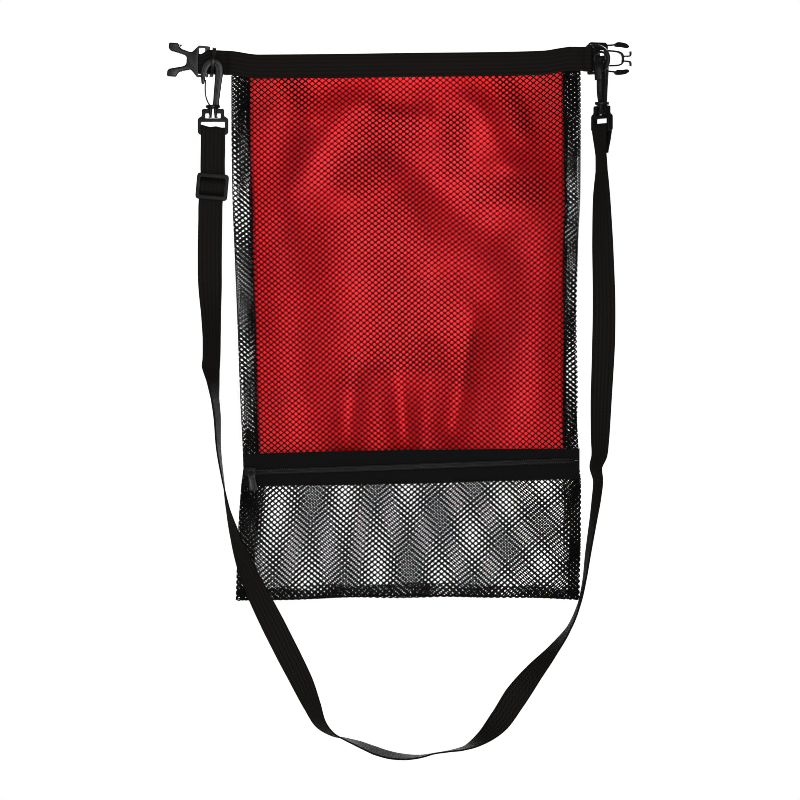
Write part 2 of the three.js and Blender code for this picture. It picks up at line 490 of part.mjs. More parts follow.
function baseSolid() {
  const w = BASE.wide / 2, n = BASE.neck / 2, s = BASE.slot / 2;
  const shape = outline([[-n, -2.7], [-n + 0.9, -1.75], [n - 0.9, -1.75], [n, -2.7], [n, -7.8], [w - 0.8, -9.3], [w, -10.6], [w, -21.4], [w - 1.8, -23.2],
    [-w + 1.8, -23.2], [-w, -21.4], [-w, -10.6], [-w + 0.8, -9.3], [-n, -7.8]].reverse());
  shape.holes.push(rectangle(-6.4, -9.6, 6.4, -5.4, 0.6), rectangle(-s, -19.4, s, -12.4, 0.6));
  const bore = solid(new THREE.CylinderGeometry(4.0, 4.0, 6, 16).rotateX(Math.PI / 2)).translate(0, 0, -4);
  const thinner = [-1, 1].map((k) => block(-s, s, k > 0 ? BASE.barDeep / 2 : -4, k > 0 ? 4 : -BASE.barDeep / 2, -25, -16));
  return thinner.reduce((a, b) => a.subtract(b), solid(plate(shape, BASE.thick, 0.5)).subtract(bore));
}
const hung = (s, side, turn) => s.rotate([0, 0, turn]).translate(side.x, side.y, side.hookZ);
const hookLeft = hung(hookSolid(), LEFT, 0);
const hookRight = hung(hookSolid(), RIGHT, RIGHT.turn);
const baseLeft = hung(baseSolid(), LEFT, 0);
const baseRight = hung(baseSolid(), RIGHT, RIGHT.baseTurn);

// ---------- buckle ----------
// u from the strap bar towards the mouth, v across.
function socketSolid() {
  const upper = [[-2.2, 12.4], [-0.6, 13.0], [7.4, 13.2], [10.4, 9.6], [12.8, 7.2], [15.4, 7.6], [21.4, 9.4], [23.0, 10.8], [24.4, 14.0], [31.4, 14.1],
    [32.2, 13.2], [32.2, 9.4], [30.6, 7.6], [19.6, 5.0], [17.6, 4.0], [16.7, 2.4]];
  const shape = outline([...upper, ...upper.slice().reverse().map(([u, v]) => [u, -v])]);
  shape.holes.push(rectangle(1.9, -11.2, 6.7, 11.2, 0.8));
  const thick = 7.4, room = 3.6;
  let s = solid(plate(shape, thick, 0.7));
  for (const k of [-1, 1]) s = s.subtract(block(-5, 8.6, k > 0 ? 1.6 : -6, k > 0 ? 6 : -1.6, -16, 16));
  return s.subtract(block(13.2, 36, -room / 2, room / 2, -9.4, 9.4));
}
const socket = socketSolid().scale([-1, 1, 1]).rotate([0, SOCKET.tilt, 0]).translate(SOCKET.x, 0, SOCKET.z);
// u from the strap bar towards the tips.
function plugSolid() {
  const frame = rectangle(-1.2, -13, 17.2, 13, 2.2);
  frame.holes.push(rectangle(1.2, -11.4, 5.6, 11.4, 0.6), rectangle(10.2, -6.4, 14.8, 6.4, 0.8));
  const thick = 3.4, wire = 1.3;
  const parts = [solid(plate(frame, thick, 0.5))];
  for (const k of [-1, 1]) {
    parts.push(solid(plate(stroke([[16.2, 10.7 * k], [20.6, 11.0 * k], [24.4, 11.4 * k]], wire), thick)));
    const pad = [[23.5, 11.6], [24.6, 9.9], [30, 9.4], [34.6, 8.9], [36.1, 10.1], [34.2, 12.2], [30.2, 13.4], [25, 13.4]].map(([u, v]) => [u, v * k]);
    parts.push(solid(plate(smooth(k > 0 ? pad : pad.reverse(), 2), 4.6, 0.6)));
    const tip = [[30.6, 2.0], [35.6, 2.2], [37.3, 2.6], [37.8, 3.6], [37.8, 6.2]].map(([u, v]) => [u, v * k]);
    parts.push(solid(plate(stroke(tip, 1.2), 2.8)));
  }
  const guide = [[16.4, 6.4], [27.6, 5.3], [30.2, 3.7], [31.0, 1.6], [31.0, -1.6], [30.2, -3.7], [27.6, -5.3], [16.4, -6.4]];
  parts.push(solid(plate(stroke(guide, wire), thick)));
  return joined(...parts);
}
const plug = plugSolid().rotate([0, 0, PLUG.turn]).translate(PLUG.x, PLUG.y, PLUG.z);

// ---------- strap and its slider ----------
function slideSolid() {
  const w = SLIDE.wide / 2, h = SLIDE.tall / 2, inW = w - SLIDE.side, inH = h - SLIDE.bar;
  const shape = rectangle(-w, -h, w, h, 2.2);
  shape.holes.push(rectangle(-inW, 1.5, inW, inH, 0.6), rectangle(-inW, -inH, inW, -1.5, 0.6));
  return solid(plate(shape, SLIDE.thick, 0.6))
    .subtract(block(-inW, inW, -3, -1.1, -1.6, 1.6))
    .rotate([0, SLIDE.tilt, 0]);
}
const slide = slideSolid().translate(SLIDE_AT.x, SLIDE_AT.y, SLIDE_AT.z);

// Round the left base bar and the slider: y and z of the strap's middle, from its sewn end.
const barL = { y: LEFT.y, z: LEFT.hookZ - 21.6 }, bar3 = SLIDE_AT;
const LOOP_SLIDE = [
  ...[[4.5, 21], [4.45, 10.5], [4.1, 7.2], [2.95, 4.6], [1.6, 3.15], [0, 2.65], [-1.9, 2.3], [-2.2, 0], [-1.9, -2.3], [0, -2.75], [2.3, -2.3], [2.7, -0.4],
    [4.3, 3.0], [5.7, 6.4], [6.4, 11], [6.5, 14]].map(([y, z]) => ({ y: bar3.y + y, z: bar3.z + z, lean: SLIDE.tilt })),
  ...[[2.75, -14], [2.75, -2], [2.75, 2.2], [1.8, 4.1], [0, 4.7], [-1.8, 4.1], [-2.75, 2.2], [-2.75, -2], [-2.5, -14]].map(([y, z]) => ({ y: barL.y + y, z: barL.z + z })),
  ...[[2.75, 14], [2.7, 10], [2.45, 7.9], [1.5, 6.1], [0, 4.9], [-1.7, 4.35], [-3.5, 2.5], [-3.95, 0], [-3.5, -2.5], [-1.7, -4.3], [0, -4.75], [1.6, -5.9], [2.65, -7.9]]
    .map(([y, z]) => ({ y: bar3.y + y, z: bar3.z + z, lean: SLIDE.tilt })),
];
// Round the right base bar, in the turned plane: a across the strap's face, z up.
const barR = { z: RIGHT.hookZ - 21.6 };
const LOOP_BASE = [[-0.85, -21], [-1.9, -9.5], [-2.75, -2], [-2.75, 2.2], [-1.8, 4.1], [0, 4.7], [1.8, 4.1], [2.75, 2.2], [2.75, -2], [1.9, -9.5], [0.85, -21], [0.75, -28]]
  .map(([a, z]) => ({ a, z: barR.z + z }));
function strapStations() {
  const knots = [];
  const drift = (z) => (Math.abs(z) > 12 ? 0 : z * Math.tan(rad(SLIDE.tilt)) * Math.min(1, (12 - Math.abs(z)) / 4));
  for (const q of LOOP_SLIDE) knots.push({ p: new THREE.Vector3(lerp(LEFT.x, bar3.x, (barL.z - q.z) / (barL.z - bar3.z)) + drift(q.z - bar3.z), q.y, q.z), w: new THREE.Vector3(-Math.cos(rad(q.lean || 0)), 0, Math.sin(rad(q.lean || 0))) });
  STRAP.forEach((row, i) => {
    const a = STRAP[Math.max(0, i - 1)], b = STRAP[Math.min(STRAP.length - 1, i + 1)];
    const t = new THREE.Vector3(b.x - a.x, b.y - a.y, b.z - a.z).normalize();
    const flat = t.clone().cross(new THREE.Vector3(0, -1, 0)).normalize();
    const w = flat.multiplyScalar(Math.cos(rad(row.turn))).addScaledVector(new THREE.Vector3(0, -1, 0), Math.sin(rad(row.turn)));
    knots.push({ p: new THREE.Vector3(row.x, row.y, row.z), w });
  });
  const c = Math.cos(rad(RIGHT.baseTurn)), s = Math.sin(rad(RIGHT.baseTurn));
  for (const q of LOOP_BASE)
    knots.push({ p: new THREE.Vector3(RIGHT.x - s * q.a, RIGHT.y + c * q.a, q.z), w: new THREE.Vector3(c, s, 0) });
  const path = new THREE.CatmullRomCurve3(knots.map((k) => k.p), false, "centripetal");
  const per = 2, count = (knots.length - 1) * per;
  return Array.from({ length: count + 1 }, (_, i) => {
    const k = Math.min(knots.length - 2, Math.floor(i / per)), f = i / per - k;
    const p = path.getPoint(i / count), t = path.getTangent(i / count);
    const w = knots[k].w.clone().lerp(knots[k + 1].w, f);
    w.addScaledVector(t, -w.dot(t)).normalize();
    return { p, w, n: t.clone().cross(w).normalize() };
  });
}
const strap = facingOut(ribbon(strapStations(), WEB.width, WEB.thick));

// ---------- the part ----------
const group = new THREE.Group();
group.name = "waterproof_bag";
const LOOKS = {
  coated_cloth: { color: 0xc8141e, roughness: 0.55 },
  net: { color: 0x17171a, roughness: 0.8 },
  webbing: { color: 0x1b1a19, roughness: 0.85 },
  zip_cloth: { color: 0x151515, roughness: 0.85 },
  zip_coil: { color: 0x1a1a1b, roughness: 0.5 },
  zip_metal: { color: 0x3a3a3c, roughness: 0.45, metalness: 0.6 },
  plastic: { color: 0x2c2c2e, roughness: 0.5 },
};
function add(name, geometry, look, pivot) {
  const m = new THREE.Mesh(geometry, new THREE.MeshStandardMaterial(LOOKS[look]));
  m.name = name;
  if (pivot) m.position.set(pivot.x, pivot.y, pivot.z);
  group.add(m);
}
const netTop = (x) => bandTop(x) - 6;
add("inner_bag", pouch(20, 16, 9), "coated_cloth");
add("net_front_upper", netPanel(16, 13, -1, netTop, (x) => zip("top", x) - 4), "net");
add("net_front_lower", netPanel(16, 6, -1, (x) => zip("bottom", x) + 4, hemZ), "net");
add("net_back", netPanel(16, 18, 1, netTop, hemZ), "net");
add("band_front", bandFront, "webbing");
add("band_back", bandRear, "webbing");
add("zip_tape_upper", tapeUpper, "zip_cloth");
add("zip_tape_lower", tapeLower, "zip_cloth");
add("zip_coil", coil, "zip_coil");
add("zip_slider", geometryOf(sliderSolid()), "zip_metal");
add("zip_pull", geometryOf(pullSolid()), "zip_metal", PIVOT);
add("buckle_socket", geometryOf(socket), "plastic");
add("buckle_plug", geometryOf(plug), "plastic");
add("ring_left", geometryOf(ringLeft), "plastic");
add("ring_right", geometryOf(ringRight), "plastic");
add("hook_left", geometryOf(hookLeft), "plastic");
add("hook_right", geometryOf(hookRight), "plastic");
add("base_left", geometryOf(baseLeft), "plastic");
add("base_right", geometryOf(baseRight), "plastic");
add("strap_slider", geometryOf(slide), "plastic");
add("strap", strap, "webbing");

export default group;
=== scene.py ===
"""Looks of the waterproof bag: coated cloth inner bag, net outer bag, webbing, zip and moulded fittings."""
import math

import bpy
import numpy as np
from mathutils import Matrix, Vector


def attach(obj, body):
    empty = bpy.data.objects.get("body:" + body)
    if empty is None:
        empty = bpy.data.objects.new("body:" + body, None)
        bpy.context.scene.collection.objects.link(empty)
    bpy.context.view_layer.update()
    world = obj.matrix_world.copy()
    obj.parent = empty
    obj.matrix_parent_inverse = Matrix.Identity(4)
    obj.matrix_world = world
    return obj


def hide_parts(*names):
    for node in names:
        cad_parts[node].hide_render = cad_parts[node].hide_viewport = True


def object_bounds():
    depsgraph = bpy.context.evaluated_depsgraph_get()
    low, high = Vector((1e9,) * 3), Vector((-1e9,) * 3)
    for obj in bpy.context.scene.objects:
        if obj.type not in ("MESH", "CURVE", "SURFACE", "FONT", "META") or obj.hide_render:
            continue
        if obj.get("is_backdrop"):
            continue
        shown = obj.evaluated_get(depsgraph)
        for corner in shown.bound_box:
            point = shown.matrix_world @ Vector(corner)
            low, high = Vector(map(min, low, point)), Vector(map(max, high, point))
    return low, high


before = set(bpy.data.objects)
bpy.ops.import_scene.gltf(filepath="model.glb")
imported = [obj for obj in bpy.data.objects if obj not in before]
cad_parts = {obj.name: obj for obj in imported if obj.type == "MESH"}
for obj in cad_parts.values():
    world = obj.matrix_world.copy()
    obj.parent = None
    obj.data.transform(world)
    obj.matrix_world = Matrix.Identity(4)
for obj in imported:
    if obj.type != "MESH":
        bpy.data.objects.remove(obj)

CAD_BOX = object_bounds()
MM = 0.001
PI = math.pi

# ------------------------------------------------------------------ tables (mm), as in the part's source
BAND = [(-172, 3.4), (-146, 2.2), (-122, -1.0), (-60, -0.8), (0, 0), (70, 0.8), (114, 2.2), (128, 4.4), (137, 5.6), (158, 5.3)]
# z, net left, net right, net half depth, liner left, liner right, liner half depth
BODY = [
    (12, -145.2, 145.2, 7.8, -131.0, 131.4, 6.2), (-22, -145.3, 145.3, 7.8, -131.0, 131.8, 6.2),
    (-60, -145.2, 145.4, 12.6, -130.8, 132.4, 10.6), (-110, -144.6, 145.2, 17.0, -129.8, 132.8, 14.8),
    (-170, -142.4, 142.6, 19.6, -128.0, 132.5, 17.4), (-230, -140.0, 141.2, 19.0, -126.6, 132.2, 16.6),
    (-290, -137.8, 141.8, 14.2, -124.8, 132.2, 11.0), (-326, -136.0, 143.4, 9.8, -123.6, 132.0, 5.2),
    (-344, -135.4, 144.4, 9.8, -123.4, 131.8, 1.0), (-358, -137.0, 145.6, 9.8, None, None, None),
    (-404, -140.0, 145.4, 6.6, None, None, None), (-440, -141.2, 144.6, 2.6, None, None, None),
    (-456, -141.6, 144.4, 0.85, None, None, None),
]
# x, top of the upper tape, coil, bottom of the lower tape
ZIP = [(-136, -332.8, -348.2, -359.8), (-71, -331.0, -346.0, -358.8), (0, -329.5, -343.5, -357.7),
       (70, -328.8, -340.8, -355.6), (146, -328.2, -338.0, -353.6)]
HEM = [(-142, -455.0), (-90, -454.0), (-43, -452.2), (15, -451.4), (60, -451.8), (110, -452.8), (146, -454.6)]
# x, y, z of the middle of the strap's width, and its turn from facing the front
STRAP = [
    (-162.0, -11.8, -124, 2), (-162.3, -11.2, -140, 2), (-162.7, -10.8, -165, 4), (-162.6, -10.4, -190, 12),
    (-161.8, -10.2, -215, 37), (-161.2, -10.0, -236, 45), (-161.4, -10.0, -254, 46), (-161.8, -10.0, -260, 44), (-160.2, -10.0, -271, 60),
    (-158.4, -10.0, -287, 74), (-156.7, -10.0, -302, 77),
    (-155.5, -10.4, -328, 83), (-151.6, -11.2, -356, 90), (-147.3, -12.6, -380, 100), (-141.2, -14.0, -402, 117),
    (-132.8, -14.6, -426, 138), (-121.2, -14.0, -452, 157), (-108.8, -13.0, -477, 171), (-97.2, -12.4, -500, 170),
    (-86.2, -12.0, -522, 159), (-78.0, -11.6, -541, 138), (-70.9, -11.4, -556.4, 120), (-60.6, -11.3, -565.4, 101),
    (-50.6, -11.2, -569.2, 90), (-38.0, -11.1, -573.8, 80), (-25.7, -11.0, -578.8, 75), (-13.3, -11.0, -582.5, 77),
    (-0.8, -11.0, -584.1, 82), (11.6, -11.0, -583.7, 89), (24.0, -11.0, -581.2, 95), (36.5, -11.0, -579.2, 93),
    (49.2, -11.0, -576.4, 86), (64.2, -11.2, -567.4, 60), (77.6, -11.4, -554, 27), (91.0, -11.6, -534, 12),
    (105.4, -12.0, -515, 42), (120.6, -12.6, -497, 66), (135.2, -13.2, -477, 84), (143.6, -13.4, -457, 88),
    (148.0, -12.4, -437, 86), (150.9, -11.6, -416, 81), (155.6, -10.6, -386, 76), (157.8, -10.1, -371, 72), (159.3, -9.8, -355, 70),
    (157.6, -9.6, -343.5, 62), (160.4, -9.3, -333.7, 53), (161.0, -9.2, -321, 45), (161.9, -8.6, -290, 33), (164.0, -8.0, -240, 20), (164.4, -7.6, -205, 23),
    (163.3, -7.2, -160, 32), (162.4, -6.8, -120, 48), (162.4, -6.6, -98, 64),
]
# Folds of the inner bag's front: from, to, height out of the wall (a valley is below 0), half width, height at the far end
FOLDS = [
    (-31, -25, -98, -116, 4.0, 17), (46, -24, 86, -98, 3.6, 14), (76, -97, 128, -101, 3.2, 13),
    (-52, -120, -46, -262, 2.6, 22), (-6, -140, 46, -236, 2.2, 24), (56, -218, 38, -312, 2.2, 10, 5.6),
    (-44, -244, -50, -328, 0.2, 10, 6.8), (-8, -254, -1, -328, 0.2, 8, 6.6), (-92, -14, -78, -52, 1.8, 8), (80, -14, 100, -72, 1.4, 9),
    (-16, -74, 80, -160, -3.3, 19), (-36, -30, 34, -62, -0.9, 15), (-16, -53, 16, -53, 1.4, 9), (-25, -270, -23, -332, -1.6, 9),
    (21, -246, 15, -332, -1.7, 9), (-100, -60, -104, -150, -1.8, 14), (98, -160, 86, -320, -1.3, 17),
    (-92, -170, -80, -320, -1.6, 15), (116, -210, 108, -326, 0.6, 10), (-108, -220, -100, -326, 0.6, 9),
    (-31, -14, -29, -50, 0.7, 4), (-20, -14, -19, -56, -0.7, 4), (-9, -14, -9, -58, 0.7, 4), (3, -14, 3, -58, -0.7, 4), (14, -14, 14, -55, 0.7, 4), (25, -14, 24, -50, -0.6, 4),
]
# Where a ridge presses into the net: from, to, half width
FULL = [
    (-10, -52, -46, -112, 27), (-32, -132, -10, -186, 42), (-4, -190, -2, -258, 52), (-45, -254, -46, -272, 11),
    (52, -236, 46, -270, 10), (41, -56, 42, -96, 12), (60, -114, 110, -114, 13), (-96, -22, -84, -40, 10), (80, -20, 96, -60, 9),
]
BACK_FOLDS = [
    (20, -30, 84, -140, 3.2, 16), (-30, -34, -72, -150, 3.0, 16), (-4, -70, 10, -230, -2.6, 17), (60, -180, 40, -318, 2.0, 13),
    (-64, -190, -44, -320, 1.8, 13), (0, -240, -6, -330, 2.0, 9), (96, -110, 100, -280, -1.8, 16), (-98, -100, -92, -290, -1.8, 16),
]

# ------------------------------------------------------------------ helpers
class Line:
    """A smooth curve through a table that never passes its rows, held level past its ends."""

    def __init__(self, xs, ys):
        rows = [(a, b) for a, b in zip(xs, ys) if b is not None]
        rows.sort()
        self.x, self.y = (np.array(c, float) for c in zip(*rows))
        s = np.diff(self.y) / np.diff(self.x)
        m = np.concatenate([[s[0]], np.zeros(len(s) - 1), [s[-1]]])
        for i in range(1, len(s)):
            m[i] = 0 if s[i - 1] * s[i] <= 0 else 2 * s[i - 1] * s[i] / (s[i - 1] + s[i])
        self.m = m

    def __call__(self, at):
        at = np.clip(np.asarray(at, float), self.x[0], self.x[-1])
        i = np.clip(np.searchsorted(self.x, at, side="right") - 1, 0, len(self.x) - 2)
        span = self.x[i + 1] - self.x[i]
        t = (at - self.x[i]) / span
        return ((2 * t**3 - 3 * t**2 + 1) * self.y[i] + (t**3 - 2 * t**2 + t) * span * self.m[i]
                + (-2 * t**3 + 3 * t**2) * self.y[i + 1] + (t**3 - t**2) * span * self.m[i + 1])


def column(rows, k):
    return Line([r[0] for r in rows], [r[k] for r in rows])


band_top = column(BAND, 1)
net_l, net_r, net_d, red_l, red_r, red_d = (column(BODY, k) for k in range(1, 7))
zip_top, zip_coil, zip_bottom = (column(ZIP, k) for k in (1, 2, 3))
hem_z = column(HEM, 1)


def unit(v):
    return v / np.maximum(np.linalg.norm(v, axis=-1, keepdims=True), 1e-12)


def catmull(points, per):
    """Points and unit tangents of a centripetal Catmull-Rom curve, per of them to a span."""
    p = np.asarray(points, float)
    e = np.vstack([2 * p[0] - p[1], p, 2 * p[-1] - p[-2]])
    out, tan = [], []
    last = len(p) - 2
    for k in range(last + 1):
        p0, p1, p2, p3 = e[k:k + 4]
        d0, d1, d2 = (max(np.linalg.norm(b - a) ** 0.5, 1e-4) for a, b in ((p0, p1), (p1, p2), (p2, p3)))
        t1 = ((p1 - p0) / d0 - (p2 - p0) / (d0 + d1) + (p2 - p1) / d1) * d1
        t2 = ((p2 - p1) / d1 - (p3 - p1) / (d1 + d2) + (p3 - p2) / d2) * d1
        f = np.arange(per + (k == last))[:, None] / per
        c2, c3 = -3 * p1 + 3 * p2 - 2 * t1 - t2, 2 * p1 - 2 * p2 + t1 + t2
        out.append(p1 + t1 * f + c2 * f**2 + c3 * f**3)
        tan.append(t1 + 2 * c2 * f + 3 * c3 * f**2)
    return np.vstack(out), unit(np.vstack(tan))


def closed_smooth(points, per=8):
    """A closed smooth outline through points."""
    p = np.asarray([(u, v, 0) for u, v in points], float)
    n = len(p)
    got, _ = catmull(np.vstack([p[-2:], p, p[:3]]), per)
    return got[2 * per:(n + 2) * per, :2]


def make(name, verts, quads=None, tris=None, uv=None, angle=None):
    """A mesh object from arrays in mm."""
    quads = np.zeros((0, 4), int) if quads is None else np.asarray(quads, int)
    tris = np.zeros((0, 3), int) if tris is None else np.asarray(tris, int)
    loops = np.concatenate([quads.ravel(), tris.ravel()]).astype(np.int32)
    starts = np.concatenate([np.arange(len(quads)) * 4, len(quads) * 4 + np.arange(len(tris)) * 3]).astype(np.int32)
    me = bpy.data.meshes.new(name)
    me.vertices.add(len(verts))
    me.vertices.foreach_set("co", (np.asarray(verts) * MM).astype(np.float32).ravel())
    me.loops.add(len(loops))
    me.loops.foreach_set("vertex_index", loops)
    me.polygons.add(len(starts))
    me.polygons.foreach_set("loop_start", starts)
    me.update(calc_edges=True)
    me.validate()
    if uv is not None:
        layer = me.uv_layers.new(name="cloth")
        layer.uv.foreach_set("vector", np.asarray(uv, np.float32)[loops].ravel())
    me.shade_smooth()
    if angle is not None:
        me.set_sharp_from_angle(angle=math.radians(angle))
    ob = bpy.data.objects.new(name, me)
    bpy.context.scene.collection.objects.link(ob)
    return ob


def tubes(paths, normals, radius, sides, phase=0.5, squash=1.0):
    """Closed tubes along paths (T, N, 3): radius may be a number or (T, N); squash flattens along the normal."""
    t = unit(np.gradient(paths, axis=1))
    n = unit(normals - (normals * t).sum(-1, keepdims=True) * t)
    b = np.cross(t, n)
    a = 2 * PI * (np.arange(sides) + phase) / sides
    r = np.broadcast_to(np.asarray(radius, float), paths.shape[:2])[..., None, None]
    ring = paths[:, :, None] + r * (squash * np.cos(a)[:, None] * n[:, :, None] + np.sin(a)[:, None] * b[:, :, None])
    count, steps = paths.shape[:2]
    i = np.arange(count * steps * sides).reshape(count, steps, sides)
    j = np.roll(i, -1, axis=2)
    quads = np.stack([i[:, :-1], j[:, :-1], j[:, 1:], i[:, 1:]], -1).reshape(-1, 4)
    fan = np.arange(1, sides - 1)
    start = np.stack([np.repeat(i[:, :1, 0], len(fan), 1), i[:, 0][:, fan + 1], i[:, 0][:, fan]], -1).reshape(-1, 3)
    end = np.stack([np.repeat(i[:, -1:, 0], len(fan), 1), i[:, -1][:, fan], i[:, -1][:, fan + 1]], -1).reshape(-1, 3)
    return ring.reshape(-1, 3), quads, np.vstack([start, end])


def merged(parts):
    """Several (verts, quads, tris) as one."""
    v, q, t, base = [], [], [], 0
    for a, b, c in parts:
        v.append(a)
        q.append(np.asarray(b, int).reshape(-1, 4) + base)
        t.append(np.asarray(c, int).reshape(-1, 3) + base)
        base += len(a)
    return np.vstack(v), np.vstack(q), np.vstack(t)


def ribbon(name, p, w, n, width, thick, across=8, warp=None):
    """Woven webbing along stations: flat faces with rounded selvages. warp(stations, across) moves points, in mm."""
    half, h = width / 2, thick / 2
    edge = [(half - h + h * math.sin(a), h * math.cos(a)) for a in (PI * k / 4 for k in range(5))]
    top = [(x, h) for x in np.linspace(-half + h, half - h, across + 1)]
    section = top[:-1] + edge + [(-x, -y) for x, y in top[1:-1]] + [(-x, -y) for x, y in edge[:-1]]
    s = np.array(section)
    k = len(s)
    ring = p[:, None] + s[None, :, :1] * w[:, None] + s[None, :, 1:] * n[:, None]
    if warp is not None:
        ring = ring + warp(p[:, None], s[None, :, 0])
    m = len(p)
    i = np.arange(m * k).reshape(m, k)
    j = np.roll(i, -1, axis=1)
    quads = np.stack([i[:-1], j[:-1], j[1:], i[1:]], -1).reshape(-1, 4)
    fan = np.arange(1, k - 1)
    tris = np.vstack([np.stack([np.full_like(fan, i[0, 0]), i[0, fan + 1], i[0, fan]], -1),
                      np.stack([np.full_like(fan, i[-1, 0]), i[-1, fan], i[-1, fan + 1]], -1)])
    run = np.concatenate([[0], np.cumsum(np.linalg.norm(np.diff(p, axis=0), axis=1))])
    uv = np.stack([np.broadcast_to(s[:, 0], (m, k)), np.broadcast_to(run[:, None], (m, k))], -1).reshape(-1, 2) * MM
    verts = ring.reshape(-1, 3)
    a, b, c = verts[quads[:, 0]], verts[quads[:, 1]], verts[quads[:, 2]]
    if (a * np.cross(b, c)).sum() < 0:
        quads, tris = quads[:, ::-1], tris[:, ::-1]
    return make(name, verts, quads, tris, uv, 50), run[-1]


def slab(name, grid, thick, uv):
    """A closed sheet of even thickness along Y from its middle surface, grid (rows, columns, 3)."""
    m, n = grid.shape[:2]
    off = np.array([0, thick / 2, 0])
    verts = np.concatenate([(grid - off).reshape(-1, 3), (grid + off).reshape(-1, 3)])
    f = np.arange(m * n).reshape(m, n)
    b = f + m * n
    q = [np.stack([f[:-1, :-1], f[1:, :-1], f[1:, 1:], f[:-1, 1:]], -1).reshape(-1, 4),
         np.stack([b[:-1, :-1], b[:-1, 1:], b[1:, 1:], b[1:, :-1]], -1).reshape(-1, 4)]
    ring_f = np.concatenate([f[0, :-1], f[:-1, -1], f[-1, :0:-1], f[:0:-1, 0]])
    ring_b = ring_f + m * n
    q.append(np.stack([ring_f, np.roll(ring_f, -1), np.roll(ring_b, -1), ring_b], -1))
    return make(name, verts, np.vstack(q), None, np.tile(uv.reshape(-1, 2), (2, 1)), 50)


# ------------------------------------------------------------------ materials
class Nodes:
    """A material's node tree with short names for what is used here."""

    def __init__(self, name):
        self.mat = bpy.data.materials.new(name)
        self.mat.use_nodes = True
        self.tree = self.mat.node_tree
        self.bsdf = self.tree.nodes["Principled BSDF"]

    def add(self, kind, **values):
        node = self.tree.nodes.new(kind)
        for k, v in values.items():
            if k in node.inputs:
                node.inputs[k].default_value = v
            else:
                setattr(node, k, v)
        return node

    def link(self, a, b):
        self.tree.links.new(a, b)

    def math(self, op, a, b=None, c=None):
        node = self.add("ShaderNodeMath", operation=op)
        for k, v in enumerate((a, b, c)):
            if v is None:
                continue
            if isinstance(v, (int, float)):
                node.inputs[k].default_value = v
            else:
                self.link(v, node.inputs[k])
        return node.outputs[0]

    def uv(self):
        split = self.add("ShaderNodeSeparateXYZ")
        self.link(self.add("ShaderNodeUVMap", uv_map="cloth").outputs[0], split.inputs[0])
        return split.outputs[0], split.outputs[1]

    def place(self):
        return self.add("ShaderNodeTexCoord").outputs["Object"]

    def noise(self, scale, detail=2.0, rough=0.5, at=None):
        node = self.add("ShaderNodeTexNoise", Scale=scale, Detail=detail, Roughness=rough)
        self.link(at if at is not None else self.place(), node.inputs["Vector"])
        return node.outputs["Fac"]

    def ramp(self, fac, low, high, start=0.3, end=0.7):
        node = self.add("ShaderNodeValToRGB")
        node.color_ramp.elements[0].position, node.color_ramp.elements[1].position = start, end
        node.color_ramp.elements[0].color, node.color_ramp.elements[1].color = (*low, 1), (*high, 1)
        self.link(fac, node.inputs[0])
        return node.outputs[0]

    def span(self, fac, low, high, start=0.3, end=0.7):
        node = self.add("ShaderNodeMapRange")
        node.inputs["From Min"].default_value, node.inputs["From Max"].default_value = start, end
        node.inputs["To Min"].default_value, node.inputs["To Max"].default_value = low, high
        self.link(fac, node.inputs["Value"])
        return node.outputs[0]

    def bump(self, height, strength, distance):
        node = self.add("ShaderNodeBump", Strength=strength, Distance=distance)
        self.link(height, node.inputs["Height"])
        self.link(node.outputs[0], self.bsdf.inputs["Normal"])

    def wave(self, coordinate, pitch_mm, shift=0.0):
        """A smooth wave between 0 and 1 of that pitch along a coordinate in metres."""
        turned = self.math("MULTIPLY_ADD", coordinate, 2 * PI / (pitch_mm * MM), shift)
        return self.math("MULTIPLY_ADD", self.math("SINE", turned), 0.5, 0.5)

    def set(self, **values):
        for k, v in values.items():
            self.bsdf.inputs[k.replace("_", " ")].default_value = v


CLOTH_WIDE = 265.0


